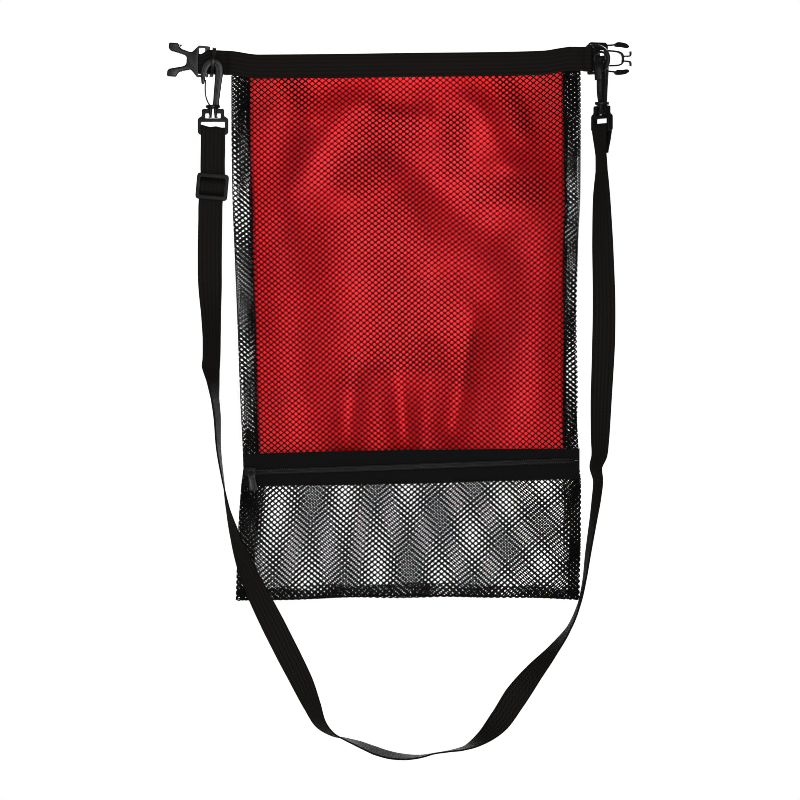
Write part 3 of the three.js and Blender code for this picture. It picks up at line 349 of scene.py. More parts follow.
def cloth_material():
    m = Nodes("coated_cloth")
    u, v = m.uv()
    weave = m.math("ADD", m.math("MULTIPLY", m.wave(u, 0.62), m.wave(v, 0.62, 1.2)),
                   m.math("MULTIPLY", m.wave(u, 0.62, PI), m.wave(v, 0.62, 1.2 + PI)))
    slow = m.noise(26, 3)
    red = m.ramp(m.math("MULTIPLY_ADD", weave, 0.25, slow), (0.455, 0.0029, 0.0050), (0.59, 0.0056, 0.0070), 0.35, 0.95)
    side = m.math("ABSOLUTE", m.math("SUBTRACT", m.math("PINGPONG", u, CLOTH_WIDE * MM), CLOTH_WIDE * MM / 2))
    # Painted shade: the cloth is darkened over the last 5 mm before its side edges, where it turns away from the light.
    painted_edge_shade = m.add("ShaderNodeMix", data_type="RGBA", blend_type="MULTIPLY")
    m.link(m.span(side, 0.0, 0.85, (CLOTH_WIDE / 2 - 5.0) * MM, CLOTH_WIDE / 2 * MM), painted_edge_shade.inputs[0])
    m.link(red, painted_edge_shade.inputs[6])
    painted_edge_shade.inputs[7].default_value = (0.16, 0.12, 0.14, 1)
    # Painted shade: near its side edges the cloth is darkened at the top and at the lower corners.
    top = m.add("ShaderNodeMix", data_type="RGBA", blend_type="MULTIPLY")
    m.link(m.math("MULTIPLY", m.span(side, 0.0, 1.0, 0.080, 0.118), m.math("MAXIMUM", m.span(v, 0.0, 0.55, -0.085, -0.045), m.span(v, 0.45, 0.0, -0.318, -0.262))), top.inputs[0])
    m.link(painted_edge_shade.outputs[2], top.inputs[6])
    top.inputs[7].default_value = (0.40, 0.30, 0.34, 1)
    # Painted shade: the cloth is darker towards its bottom edge, where it curves in to the zip.
    foot = m.add("ShaderNodeMix", data_type="RGBA", blend_type="MULTIPLY")
    m.link(m.span(v, 0.75, 0.0, -0.336, -0.316), foot.inputs[0])
    m.link(top.outputs[2], foot.inputs[6])
    foot.inputs[7].default_value = (0.50, 0.35, 0.40, 1)
    m.link(foot.outputs[2], m.bsdf.inputs["Base Color"])
    m.link(m.span(m.noise(60, 2), 0.40, 0.48), m.bsdf.inputs["Roughness"])
    m.bump(m.math("MULTIPLY_ADD", m.noise(190, 2), 0.7, weave), 0.10, 0.00025)
    m.set(Specular_IOR_Level=0.16, Metallic=0.42)
    return m.mat


def net_material():
    m = Nodes("net_yarn")
    m.link(m.ramp(m.noise(900, 2), (0.0010, 0.0009, 0.0009), (0.0030, 0.0026, 0.0024)), m.bsdf.inputs["Base Color"])
    m.link(m.span(m.noise(500, 1), 0.6, 0.8), m.bsdf.inputs["Roughness"])
    m.bump(m.noise(3800, 1), 0.3, 0.0001)
    m.set(Specular_IOR_Level=0.04)
    return m.mat


def webbing_material(name, warp, weft, low, high, rib=0.0):
    """Woven cloth: over-and-under threads, and lengthwise ribs where rib is above 0."""
    m = Nodes(name)
    u, v = m.uv()
    a, b = m.wave(u, warp), m.wave(v, weft)
    c, d = m.wave(u, warp, PI), m.wave(v, weft, PI)
    weave = m.math("ADD", m.math("MULTIPLY", a, b), m.math("MULTIPLY", c, d))
    fibre = m.noise(1400, 2)
    tone = m.math("MULTIPLY_ADD", weave, 0.45, m.math("MULTIPLY", fibre, 0.5))
    height = m.math("MULTIPLY_ADD", fibre, 0.25, weave)
    if rib > 0:
        ribs = m.wave(u, rib)
        slant = m.wave(m.math("ADD", v, m.math("MULTIPLY", m.math("PINGPONG", u, rib * MM), 1.1)), 2.6)
        both = m.math("MULTIPLY_ADD", ribs, 0.5, m.math("MULTIPLY", slant, 0.5))
        tone = m.math("MULTIPLY_ADD", m.math("SUBTRACT", both, 0.5), 0.46, tone)
        height = m.math("MULTIPLY_ADD", both, 0.9, height)
    m.link(m.ramp(tone, low, high, 0.10, 0.90), m.bsdf.inputs["Base Color"])
    m.link(m.span(fibre, 0.66, 0.84), m.bsdf.inputs["Roughness"])
    m.bump(height, 0.5, 0.00035)
    m.set(Specular_IOR_Level=0.035)
    return m.mat


def plastic_material(name, low, high, rough, gloss):
    m = Nodes(name)
    m.link(m.ramp(m.noise(180, 2), low, high), m.bsdf.inputs["Base Color"])
    m.link(m.span(m.noise(260, 2), rough - 0.03, rough + 0.04), m.bsdf.inputs["Roughness"])
    m.bump(m.noise(5200, 2), 0.05, 0.00005)
    m.set(Specular_IOR_Level=gloss)
    return m.mat


CLOTH = cloth_material()
YARN = net_material()
WEBBING = webbing_material("webbing", 1.6, 2.0, (0.0002, 0.0002, 0.0001), (0.0093, 0.0079, 0.0067), 3.4)
ZIP_CLOTH = webbing_material("zip_cloth", 0.75, 0.75, (0.0006, 0.0006, 0.0006), (0.0060, 0.0056, 0.0057))
THREAD = webbing_material("thread", 0.5, 0.5, (0.0012, 0.0011, 0.0010), (0.0060, 0.0055, 0.0052))
COIL = plastic_material("zip_coil", (0.0026, 0.0025, 0.0026), (0.0049, 0.0046, 0.0047), 0.38, 0.15)
METAL = plastic_material("zip_metal", (0.0024, 0.0024, 0.0025), (0.0050, 0.0050, 0.0051), 0.30, 0.12)
DARK_METAL = plastic_material("zip_slider_metal", (0.0012, 0.0012, 0.0013), (0.0026, 0.0026, 0.0027), 0.42, 0.06)
PLASTIC = plastic_material("plastic", (0.0022, 0.0022, 0.0022), (0.0044, 0.0044, 0.0044), 0.29, 0.08)
DULL_PLASTIC = plastic_material("slider_plastic", (0.0018, 0.0018, 0.0018), (0.0036, 0.0036, 0.0036), 0.44, 0.05)


def finish(ob, material, body="bag", nodes=()):
    ob.data.materials.clear()
    ob.data.materials.append(material)
    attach(ob, body)
    if nodes:
        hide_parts(*nodes)
    return ob


# ------------------------------------------------------------------ camera, light and floor
def studio():
    scene = bpy.context.scene
    cam = bpy.data.cameras.new("camera")
    cam.lens, cam.sensor_width = 200, 36
    ob = bpy.data.objects.new("camera", cam)
    scene.collection.objects.link(ob)
    far = 0.664 * 200 / 36
    ob.location = (-0.00498, -far - 0.008, -0.288)
    ob.rotation_euler = (PI / 2, 0, 0)
    scene.camera = ob
    world = bpy.data.worlds.new("studio")
    scene.world = world
    world.use_nodes = True
    t = world.node_tree
    back = t.nodes["Background"]
    seen, lit = t.nodes.new("ShaderNodeLightPath"), t.nodes.new("ShaderNodeMapRange")
    lit.inputs["To Min"].default_value, lit.inputs["To Max"].default_value = 0.30, 1.0
    t.links.new(seen.outputs["Is Camera Ray"], lit.inputs["Value"])
    t.links.new(lit.outputs[0], back.inputs["Strength"])
    back.inputs["Color"].default_value = (1, 1, 1, 1)
    for name, at, aim, size, power in (
        ("key", (0.08, -2.25, -0.07), (0, 0, -0.30), 0.7, 39),
        ("fill", (-1.1, -2.1, -0.10), (0, 0, -0.30), 1.1, 14),
        ("low", (-0.05, -2.15, -1.32), (0, 0, -0.36), 1.2, 27),
        ("top", (0.0, -0.5, 1.5), (0, 0, -0.2), 1.2, 4),
        ("behind", (0.3, 2.1, 0.4), (0, 0, -0.3), 1.6, 72),
    ):
        lamp = bpy.data.lights.new(name, "AREA")
        lamp.shape, lamp.size, lamp.energy = "SQUARE", size, power
        o = bpy.data.objects.new(name, lamp)
        scene.collection.objects.link(o)
        o.visible_camera = False
        o.location = at
        o.rotation_euler = (Vector(aim) - Vector(at)).to_track_quat("-Z", "Y").to_euler()
    edge, low = 1750, -950
    floor = make("floor", np.array([(-edge, -edge, low), (edge, -edge, low), (edge, edge, low), (-edge, edge, low)], float), [(0, 1, 2, 3)])
    m = Nodes("floor")
    m.link(m.ramp(m.noise(3, 2), (0.80, 0.80, 0.80), (0.84, 0.84, 0.84)), m.bsdf.inputs["Base Color"])
    m.set(Roughness=0.8)
    floor.data.materials.append(m.mat)
    floor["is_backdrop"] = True
    scene.view_settings.view_transform = "Standard"
    scene.cycles.filter_width = 0.85


studio()

# ------------------------------------------------------------------ cloth surfaces
LENS = 2.3
EDGE = 0.42


def fullness(t):
    return 1 - np.abs(np.clip(t, -1, 1)) ** LENS


def net_depth(x, z):
    l, r = net_l(z), net_r(z)
    return EDGE + np.maximum(net_d(z) - EDGE, 0) * fullness((2 * x - l - r) / (r - l))


def folds(rows, x, z):
    """Ridges and valleys, each a soft line from one point to another."""
    sum_ = np.zeros_like(x)
    for x0, z0, x1, z1, high, half, *last in rows:
        dx, dz = x1 - x0, z1 - z0
        length = math.hypot(dx, dz)
        s = ((x - x0) * dx + (z - z0) * dz) / length**2
        off = ((x - x0) * dz - (z - z0) * dx) / length
        over = np.maximum(np.maximum(-s, s - 1), 0) * length
        tall = high + (last[0] - high) * np.clip(s, 0, 1) if last else high
        sum_ += tall * np.exp(-(off / half) ** 2 - (over / (0.9 * half)) ** 2)
    ripple = 0.45 * np.sin(x / 19 + 1.3 * np.sin(z / 41)) * np.sin(z / 53 + 0.7) + 0.28 * np.sin(x / 9.5 + z / 27 + 0.4)
    return sum_ + ripple


def red_depth(x, z, front):
    l, r = red_l(z), red_r(z)
    t = (2 * x - l - r) / (r - l)
    base = np.maximum(red_d(z), 0.5) * fullness(t)
    held = np.clip((-z - 16) / 26, 0, 1) * np.clip((z + 346) / 26, 0, 1)
    fold = folds(FOLDS if front else BACK_FOLDS, x, z) * held * np.minimum(1, base / 7)
    return np.maximum(base + np.clip(fold, -0.55 * base, 6.4), 0.0)


def net_over(x, z, front):
    """The net's middle: it lies on the inner bag where that is behind it."""
    bare = net_depth(x, z)
    red = red_depth(x, z, front)
    l, r = red_l(z), red_r(z)
    on = (x > l) & (x < r) & (z > -344)
    lying = np.maximum(0.35 * bare + 0.65 * (red + 0.85), red + 0.75)
    return np.where(on, np.maximum(lying, np.minimum(bare, red + 1.6)), bare)


def inner_bag():
    columns, rows = 96, 124
    bottom = -345.0
    k = np.arange(columns + 1) / columns
    t = -np.cos(PI * k) * 0.45 - (1 - 2 * k) * 0.55
    s = np.linspace(0, 1, rows + 1)[:, None]

    def wall(front, t):
        rim = band_top(-131 + 263 * (t + 1) / 2) - 0.9
        z = rim[None] + (bottom - rim[None]) * s
        x = red_l(z) + (red_r(z) - red_l(z)) * (t[None] + 1) / 2
        d = red_depth(x, z, front)
        return np.stack([x, -d if front else d, z], -1)

    f, b = wall(True, t), wall(False, t[-2:0:-1])
    f[:, 0, 1] = f[:, -1, 1] = 0
    grid = np.concatenate([f, b], axis=1)
    count = grid.shape[1]
    i = np.arange((rows + 1) * count).reshape(rows + 1, count)
    j = np.roll(i, -1, axis=1)
    quads = [np.stack([i[:-1], i[1:], j[1:], j[:-1]], -1).reshape(-1, 4)]
    foot = i[-1]
    c = columns
    mid = np.arange(1, c - 1)
    quads.append(np.stack([foot[mid], foot[count - mid], foot[count - mid - 1], foot[mid + 1]], -1))
    tris = [(foot[0], foot[count - 1], foot[1]), (foot[c - 1], foot[c + 1], foot[c])]
    girth = np.concatenate([[0], np.cumsum(np.linalg.norm(np.diff(grid[70], axis=0), axis=1))])
    girth *= CLOTH_WIDE / girth[columns]
    uv = np.stack([np.broadcast_to(girth, grid.shape[:2]), grid[..., 2]], -1).reshape(-1, 2) * MM
    ob = make("inner_bag_cloth", grid.reshape(-1, 3), np.vstack(quads), tris, uv)
    thick = ob.modifiers.new("wall", "SOLIDIFY")
    thick.thickness, thick.offset = 0.0003, -1
    return finish(ob, CLOTH, nodes=["inner_bag"])


# ------------------------------------------------------------------ net
PITCH, ROW, FLAT, YARN_R = 5.6, 2.2, 0.75, 0.63


def full_net(x, z):
    """How far a point of the front is on one of the ridges that press into the net, 0 to 1."""
    most = np.zeros_like(x)
    for x0, z0, x1, z1, half in FULL:
        dx, dz = x1 - x0, z1 - z0
        length = math.hypot(dx, dz)
        s = ((x - x0) * dx + (z - z0) * dz) / length**2
        off = ((x - x0) * dz - (z - z0) * dx) / length
        over = np.maximum(np.maximum(-s, s - 1), 0) * length
        most = np.maximum(most, np.exp(-(off / half) ** 4 - (over / 9) ** 2))
    return most


def front_yarn(x, z):
    """Yarn thickness over the front: fine where the net lies loosely on the cloth, fuller on the ridges and at the sides."""
    on = np.clip(np.minimum(x - red_l(z), red_r(z) - x) / 5.0, 0, 1)
    return 0.94 + on * (-0.095 + 0.335 * full_net(x, z))


def net_threads(name, place, wide, high, pitch, row, shift=0.0, first=0, cut=(True, True), yarn=None):
    """Horizontal zigzag yarns that meet the next ones at flat knots.
    place(a, b) gives the cloth's point and its outward normal at a mm across and b mm down.
    Rows before first are left out, the top and foot rows are level along a cut edge, and yarn(x, z) gives the yarn's
    thickness as a share of the usual one."""
    periods = max(1, round(wide / pitch))
    pitch = wide / periods
    a, sign = [0.0], [1.0]
    for k in range(2 * periods + 1):
        centre, s = k * pitch / 2, 1.0 if k % 2 == 0 else -1.0
        for at in (centre - FLAT / 2, centre + FLAT / 2):
            if 0 < at < wide:
                a.append(at)
                sign.append(s)
    a.append(wide)
    sign.append(1.0)
    a, sign = np.array(a), np.array(sign)
    count = max(1, int(high / row))
    row = high / count
    lines = np.arange(first, count + 1)
    reach = (row - 0.45) / 2
    turn = np.where((lines + int(shift)) % 2 == 0, 1.0, -1.0)[:, None]
    aa = np.broadcast_to(a, (len(lines), len(a)))
    bb = np.clip(lines[:, None] * row - reach * sign[None] * turn, 0 if cut[0] else -row, high if cut[1] else high + row)
    lift = 0.10 * sign[None] * turn
    p, n = place(aa, bb, lift)
    thick = YARN_R * (yarn(p[..., 0], p[..., 2]) if yarn else 1.0)
    v, q, t = tubes(p, n, thick, 3, phase=0.0, squash=0.7)
    return make(name, v, q, t)


def panel(side, wave):
    """A place function for one face of the net bag; wave is how far its courses wander."""

    def at(x, z):
        return np.stack([x, side * net_over(x, z, side < 0), z], -1)

    def place(u, z, lift):
        z = z + wave * (0.7 * np.sin(u * 9.0 + z / 70) + 0.5 * np.sin(u * 21 + 1.1))
        if side > 0:
            z = z + 1.6 * np.clip(1 - np.minimum(u, 1 - u) * NET_WIDE / 16, 0, 1)
        l, r = net_l(z), net_r(z)
        x = l + (r - l) * u + wave * 0.9 * np.sin(z / 47 + 5 * u) * 4 * u * (1 - u)
        p = at(x, z)
        e = 0.8
        dx, dz = (at(x + e, z)[..., 1] - at(x - e, z)[..., 1]) / (2 * e), (at(x, z + e)[..., 1] - at(x, z - e)[..., 1]) / (2 * e)
        n = unit(np.stack([-dx, np.ones_like(dx), -dz], -1)) * side
        return p + n * lift[..., None], n

    return place


NET_WIDE = 290.0


def net_faces():
    made = []
    top = lambda u: band_top(-141 + 285 * u) - 6
    xs = lambda u: -141 + 285 * u

    def face(name, side, top_at, bottom_at, high, pitch, row, wave, nodes, **more):
        run = panel(side, wave)

        def place(a, b, lift):
            u = a / NET_WIDE
            z = top_at(u) + (bottom_at(u) - top_at(u)) * b / high
            return run(u, z, lift)

        ob = net_threads(name, place, NET_WIDE, high, pitch, row, **more)
        finish(ob, YARN, nodes=nodes)
        made.append((ob, NET_WIDE, high))
        return ob

    face("net_front_upper_yarn", -1, top, lambda u: zip_top(xs(u)) - 4, 326.0, PITCH, ROW, 0.9, ["net_front_upper"], yarn=front_yarn)
    face("net_front_lower_yarn", -1, lambda u: zip_bottom(xs(u)) + 4, lambda u: hem_z(xs(u)), 99.0, PITCH, ROW, 0.9, ["net_front_lower"])
    half = lambda u: np.full_like(u, -236.0)
    face("net_back_upper_yarn", 1, top, half, 231.0, 5.12, 2.16, 0.5, ["net_back"], cut=(True, False))
    face("net_back_lower_yarn", 1, half, lambda u: hem_z(xs(u)), 216.0, 5.12, 2.16, 0.5, ["net_back"], first=1, cut=(False, True))
    return made


def seam_allowances():
    """Cut edges of the net turned in along the sides of the pocket, at the inner bag's edge and above the foot seam."""
    made = []
    front = np.array([0, -1.0, 0])
    for name, left in (("seam_left_yarn", True), ("seam_right_yarn", False)):
        parts = []
        for y, wide, shift in ((-0.45, 19.0 if left else 14.0, 0.0), (0.30, 14.0 if left else 9.0, 1.0), (0.62, 9.0 if left else 5.0, 0.0)):
            def place(a, b, lift, y=y):
                z = -342.0 - b
                x = net_l(z) + 1.0 + a if left else net_r(z) - 1.0 - a
                p = np.stack([x + 0.5 * np.sin(z / 23), y * net_depth(x, z) + lift, z], -1)
                return p, np.broadcast_to(front, p.shape)
            parts.append(net_threads(name, place, wide, 109.0, 5.4, 2.1, shift))

        for y, reach, over, top_z, high, shift in (
                (-0.55, 1.8, 1.6, -24, 318, 0.0), (0.40, 10.8 if left else 10.2, 1.5, -24, 316, 1.0),
                (-0.20, 10.5 if left else 7.5, 0.5, -314, 26, 0.0),
                (0.10, 12.0, 0.5, -20, 40 if left else 70, 0.0), (-0.25, 11.0, 0.5, -20, 24 if left else 34, 1.0)):
            def beside(a, b, lift, y=y, reach=reach, top_z=top_z):
                z = top_z - b + (0 if left or top_z < -100 else 5.5)
                x = red_l(z) - reach + a if left else red_r(z) + reach - a
                p = np.stack([x + 0.5 * np.sin(z / 19 + 9 * y), y * net_depth(x, z) + lift, z + 0.6 * np.sin(x / 6)], -1)
                return p, np.broadcast_to(front, p.shape)
            parts.append(net_threads(name, beside, reach + over, float(high), 5.2, 2.1, shift))
        if left:
            z = np.linspace(-21, -436, 106)
            at = np.stack([net_l(z) + 0.45, 0 * z, z], -1)
            v, q, t = tubes(at[None], np.broadcast_to(front, at[None].shape), 0.36 + 0.10 * np.sin(z / 1.7)[None], 6)
            parts.append(make(name, v, q, t))
        made.append(join(parts, name))
    parts = []
    for y, shift, high in ((-0.5, 0.0, 10.0), (0.45, 1.0, 7.6)):
        def place(a, b, lift, y=y, shift=shift, high=high):
            u = 0.012 + 0.976 * a / 283.0
            x = -141 + 285 * u
            z = hem_z(x) + high + 0.5 - b
            p = np.stack([x + shift * 1.3 + 2.2 * y, y * net_depth(x, z) + 0.4 * np.sign(y) + lift, z + (1 - b / high) * (0.9 * np.sin(x / 17 + 2 * shift) + 0.5 * np.sin(x / 5.3))], -1)
            return p, np.broadcast_to(front, p.shape)
        parts.append(net_threads("hem", place, 283.0, high, 5.5, 2.1, shift))
    made.append(join(parts, "hem_yarn"))
    for ob in made:
        finish(ob, YARN)
    return made


def join(obs, name):
    """Several mesh objects as one."""
    parts, base = [], 0
    v, loops, starts, total = [], [], [], 0
    for o in obs:
        me = o.data
        co = np.zeros(len(me.vertices) * 3, np.float32)
        me.vertices.foreach_get("co", co)
        li = np.zeros(len(me.loops), np.int32)
        me.loops.foreach_get("vertex_index", li)
        ls = np.zeros(len(me.polygons), np.int32)
        me.polygons.foreach_get("loop_start", ls)
        mat = np.array(o.matrix_world)
        co = co.reshape(-1, 3) @ mat[:3, :3].T + mat[:3, 3]
        v.append(co)
        loops.append(li + base)
        starts.append(ls + total)
        base += len(co)
        total += len(li)
    me = bpy.data.meshes.new(name)
    me.vertices.add(base)
    me.vertices.foreach_set("co", np.vstack(v).astype(np.float32).ravel())
    me.loops.add(total)
    me.loops.foreach_set("vertex_index", np.concatenate(loops).astype(np.int32))
    starts = np.concatenate(starts).astype(np.int32)
    me.polygons.add(len(starts))
    me.polygons.foreach_set("loop_start", starts)
    me.update(calc_edges=True)
    me.validate()
    me.shade_smooth()
    for o in obs:
        old = o.data
        bpy.data.objects.remove(o)
        bpy.data.meshes.remove(old)
    ob = bpy.data.objects.new(name, me)
    bpy.context.scene.collection.objects.link(ob)
    return ob


# ------------------------------------------------------------------ stitches
def stitch_row(centres, along, normals, length=2.6, radius=0.27, rise=0.30):
    """One rounded stitch at each centre: it comes out of the cloth, lies on it and goes back in."""
    s = np.linspace(-0.5, 0.5, 5)
    lift = rise * (1 - (2 * s) ** 4) - 0.12
    path = centres[:, None] + s[None, :, None] * length * along[:, None] + lift[None, :, None] * normals[:, None]
    return tubes(path, np.repeat(normals[:, None], 5, 1), radius, 4, phase=0.5)


def stitches(name, rows, body="bag"):
    v, q, t = merged(rows)
    return finish(make(name, v, q, t, np.zeros((len(v), 2))), THREAD, body)


# ------------------------------------------------------------------ mouth band
WEB_W, WEB_T = 20.0, 1.3
GAP = 0.35
LOOP_LEFT = [(-147.4, 1.0), (-153, 1.3), (-158, 2.6), (-163, 2.9), (-168.7, 2.7), (-170.8, 1.5), (-171.2, -0.2), (-170.7, -2.0),
             (-168.1, -2.9), (-162.5, -2.75), (-158.5, -2.7), (-153, -1.5), (-149, -1.7), (-145.6, -2.6)]
LOOP_RIGHT = [(145.6, -2.7), (147.6, -4.0), (149.4, -5.4), (151.4, -5.95), (153.6, -5.4), (154.8, -3.7), (155.3, -1.8), (155.4, 0.2),
              (155.3, 2.2), (154.2, 4.0), (151.8, 4.6), (149.4, 3.6), (147.6, 1.8)]


def cad_net_depth(x, z):
    l, r = net_l(z), net_r(z)
    return 0.85 + (net_d(z) - 0.85) * fullness((2 * x - l - r) / (r - l))


def band_y(x):
    return -(cad_net_depth(x, -12.0) + 0.5 + GAP + WEB_T / 2)


def band(name, plan, node):
    p, t = catmull([(x, y, 0) for x, y in plan], 8)
    p[:, 2] = band_top(p[:, 0]) - WEB_W / 2
    w = np.tile([0.0, 0, 1], (len(p), 1))
    n = unit(np.stack([t[:, 1], -t[:, 0], 0 * t[:, 0]], -1))

    def warp(at, across):
        """The top edge is drawn down where the band turns in the buckle's slot, and the turn lies out against the slot's end."""
        share = np.clip((-164.5 - at[..., 0]) / 4, 0, 1)
        down = -3.6 * share * (across / WEB_W + 0.5)
        return np.stack([-1.4 * share + 0 * down, 0 * down, down], -1)

    ob, length = ribbon(name, p, w, n, WEB_W, WEB_T, warp=warp)
    finish(ob, WEBBING, nodes=[node])
    return ob, length


def bands():
    xs = np.linspace(-138, 138, 15)
    front, a = band("band_front_webbing", LOOP_LEFT + [(x, float(band_y(x))) for x in xs] + LOOP_RIGHT, "band_front")
    xb = np.linspace(-143, 143, 15)
    back, b = band("band_back_webbing", [(x, float(-band_y(x))) for x in xb], "band_back")
    rows = []
    for side in (-1, 1):
        for inset in (2.2, WEB_W - 2.4):
            x = np.arange(-138, 138.1, 3.6)
            y = band_y(x)
            c = np.stack([x, (y if side < 0 else -y) + side * WEB_T / 2, band_top(x) - inset], -1)
            rows.append(stitch_row(c, np.tile([1.0, 0, 0], (len(x), 1)), np.tile([0, float(side), 0], (len(x), 1))))
    for x0 in (-147.6, 144.2):
        z = np.arange(-17.5, -1.4, 1.5)
        x = np.full_like(z, x0)
        y = np.full_like(z, -2.55 if x0 < 0 else -2.25)
        c = np.stack([x, y - WEB_T / 2, z + band_top(x)], -1)
        rows.append(stitch_row(c, np.tile([1.0, 0, 0], (len(z), 1)), np.tile([0, -1.0, 0], (len(z), 1)), 3.0))
    thread = stitches("band_stitches", rows)
    return front, a, back, b, thread


# ------------------------------------------------------------------ zip
TAPE_T, COIL_T, COIL_H = 1.0, 1.9, 4.6
ZIP_LEFT, ZIP_RIGHT = -135.0, 144.3


def zip_y(x):
    return -(cad_net_depth(x, zip_top(x)) + 0.5 + 0.3 + TAPE_T / 2)


def coil_y(x):
    return zip_y(x) - TAPE_T / 2 - 0.25 - COIL_T / 2


def zip_tapes():
    made = []
    x = np.linspace(ZIP_LEFT, ZIP_RIGHT, 150)
    for name, node, a, b in (("zip_tape_upper_cloth", "zip_tape_upper", zip_top, lambda x: zip_coil(x) + 0.04),
                             ("zip_tape_lower_cloth", "zip_tape_lower", lambda x: zip_coil(x) - 0.04, zip_bottom)):
        s = np.linspace(0, 1, 9)[:, None]
        za, zb = a(x)[None], b(x)[None]
        z = za + (zb - za) * s
        ripple = 0.16 * np.sin(x[None] / 14 + 2 * s) * np.sin(PI * s)
        y = np.broadcast_to(zip_y(x)[None], z.shape) - ripple
        grid = np.stack([np.broadcast_to(x[None], z.shape), y, z], -1)
        uv = np.stack([grid[..., 0], grid[..., 2]], -1) * MM
        ob = slab(name, grid, TAPE_T * 0.8, uv)
        finish(ob, ZIP_CLOTH, nodes=[node])
        made.append((ob, ZIP_RIGHT - ZIP_LEFT, float(np.mean(np.abs(zb - za)))))
    rows = []
    xs = np.arange(ZIP_LEFT + 3, ZIP_RIGHT - 2, 3.2)
    for at in (lambda x: zip_top(x) - 2.0, lambda x: zip_coil(x) + 5.2, lambda x: zip_coil(x) - 5.0, lambda x: zip_bottom(x) + 2.0):
        c = np.stack([xs, zip_y(xs) - TAPE_T * 0.4, at(xs)], -1)
        rows.append(stitch_row(c, np.tile([1.0, 0, 0.02], (len(xs), 1)), np.tile([0, -1.0, 0], (len(xs), 1)), 2.3, 0.2, 0.24))
    thread = stitches("zip_stitches", rows)
    return made, thread


def zip_chain():
    """Two rows of coil teeth, half a pitch apart, each a flattened helix."""
    pitch, per = 1.6, 10
    parts = []
    for side in (1, -1):
        turns = (140.0 + 131.0) / pitch
        s = np.arange(int(turns * per) + 1) / per
        x = -131.2 + s * pitch + (0.5 * pitch if side < 0 else 0)
        x = np.minimum(x, 140.4)
        a = 2 * PI * s
        p = np.stack([x, coil_y(x) + 0.62 * np.sin(a), zip_coil(x) + side * (1.02 + 1.05 * np.cos(a))], -1)
        n = np.stack([0 * a, np.sin(a), np.cos(a)], -1)
        parts.append(tubes(p[None], n[None], 0.33, 5))
        x = np.linspace(-131.0, 140.2, 60)
        core = np.stack([x, coil_y(x) + 0.35, zip_coil(x) + side * 1.02], -1)
        parts.append(tubes(core[None], np.broadcast_to([0, -1.0, 0], (1, 60, 3)), 0.6, 6, squash=0.3))
    v, q, t = merged(parts)
    return finish(make("zip_coil_teeth", v, q, t), COIL, nodes=["zip_coil"])


# ------------------------------------------------------------------ moulded pieces
def curve_plate(outlines, thick, bevel, res=3):
    """A plate standing in XZ, its thickness along Y, from outlines in (u, v): the first is the rim, the rest are holes."""
    cu = bpy.data.curves.new("plate", "CURVE")
    cu.dimensions, cu.fill_mode = "2D", "BOTH"
    cu.extrude = max(thick / 2 - bevel, 0) * MM
    cu.bevel_depth, cu.bevel_resolution, cu.offset = bevel * MM, res, -bevel * MM
    for pts in outlines:
        sp = cu.splines.new("POLY")
        sp.points.add(len(pts) - 1)
        flat = np.zeros((len(pts), 4), np.float32)
        flat[:, :2] = np.asarray(pts) * MM
        flat[:, 3] = 1
        sp.points.foreach_set("co", flat.ravel())
        sp.use_cyclic_u = True
    ob = bpy.data.objects.new("plate", cu)
    bpy.context.scene.collection.objects.link(ob)
    dg = bpy.context.evaluated_depsgraph_get()
    me = bpy.data.meshes.new_from_object(ob.evaluated_get(dg))
    bpy.data.objects.remove(ob)
    bpy.data.curves.remove(cu)
    out = bpy.data.objects.new("plate", me)
    bpy.context.scene.collection.objects.link(out)
    me.transform(Matrix.Rotation(PI / 2, 4, "X"))
    weld(me)
    return out


def weld(me, distance=2e-6):
    import bmesh
    bm = bmesh.new()
    bm.from_mesh(me)
    bmesh.ops.remove_doubles(bm, verts=bm.verts, dist=distance)
    bmesh.ops.dissolve_degenerate(bm, edges=bm.edges, dist=distance)
    bmesh.ops.recalc_face_normals(bm, faces=bm.faces)
    bm.to_mesh(me)
    bm.free()


def rounded(points, r, steps=5):
    """A closed outline with its corners rounded."""
    p = np.asarray(points, float)
    out = []
    for k in range(len(p)):
        a, b, c = p[k - 1], p[k], p[(k + 1) % len(p)]
        u, v = a - b, c - b
        lu, lv = np.linalg.norm(u), np.linalg.norm(v)
        cut = min(r, 0.45 * lu, 0.45 * lv)
        s, e = b + u / lu * cut, b + v / lv * cut
        for f in np.linspace(0, 1, steps):
            out.append((1 - f) ** 2 * s + 2 * f * (1 - f) * b + f**2 * e)
    return np.array(out)


def box_outline(u0, v0, u1, v1, r):
    return rounded([(u0, v0), (u1, v0), (u1, v1), (u0, v1)], r)


def stroke(points, width, per=6, smooth=True):
    """A strip of even width along a line."""
    p = np.array([(u, v, 0) for u, v in points], float)
    if smooth:
        q, t = catmull(p, per)
    else:
        q, t = p, unit(np.gradient(p, axis=0))
    n = np.stack([-t[:, 1], t[:, 0]], -1) * width / 2
    q = q[:, :2]
    return np.vstack([q + n, (q - n)[::-1]])


def rod(a, b, r, sides=20, ease=0.35):
    """A round pin from a to b with eased ends."""
    a, b = np.asarray(a, float), np.asarray(b, float)
    d = unit(b - a)
    length = np.linalg.norm(b - a)
    at = np.array([0, ease * 0.35, ease, length - ease, length - ease * 0.35, length])
    rr = np.array([r - ease, r - ease * 0.3, r, r, r - ease * 0.3, r - ease])
    side = unit(np.cross(d, [0.3, 0.5, 0.81]))
    path = a + at[:, None] * d
    v, q, t = tubes(path[None], np.tile(side, (1, len(path), 1)), rr[None], sides)
    return make("rod", v, q, t)


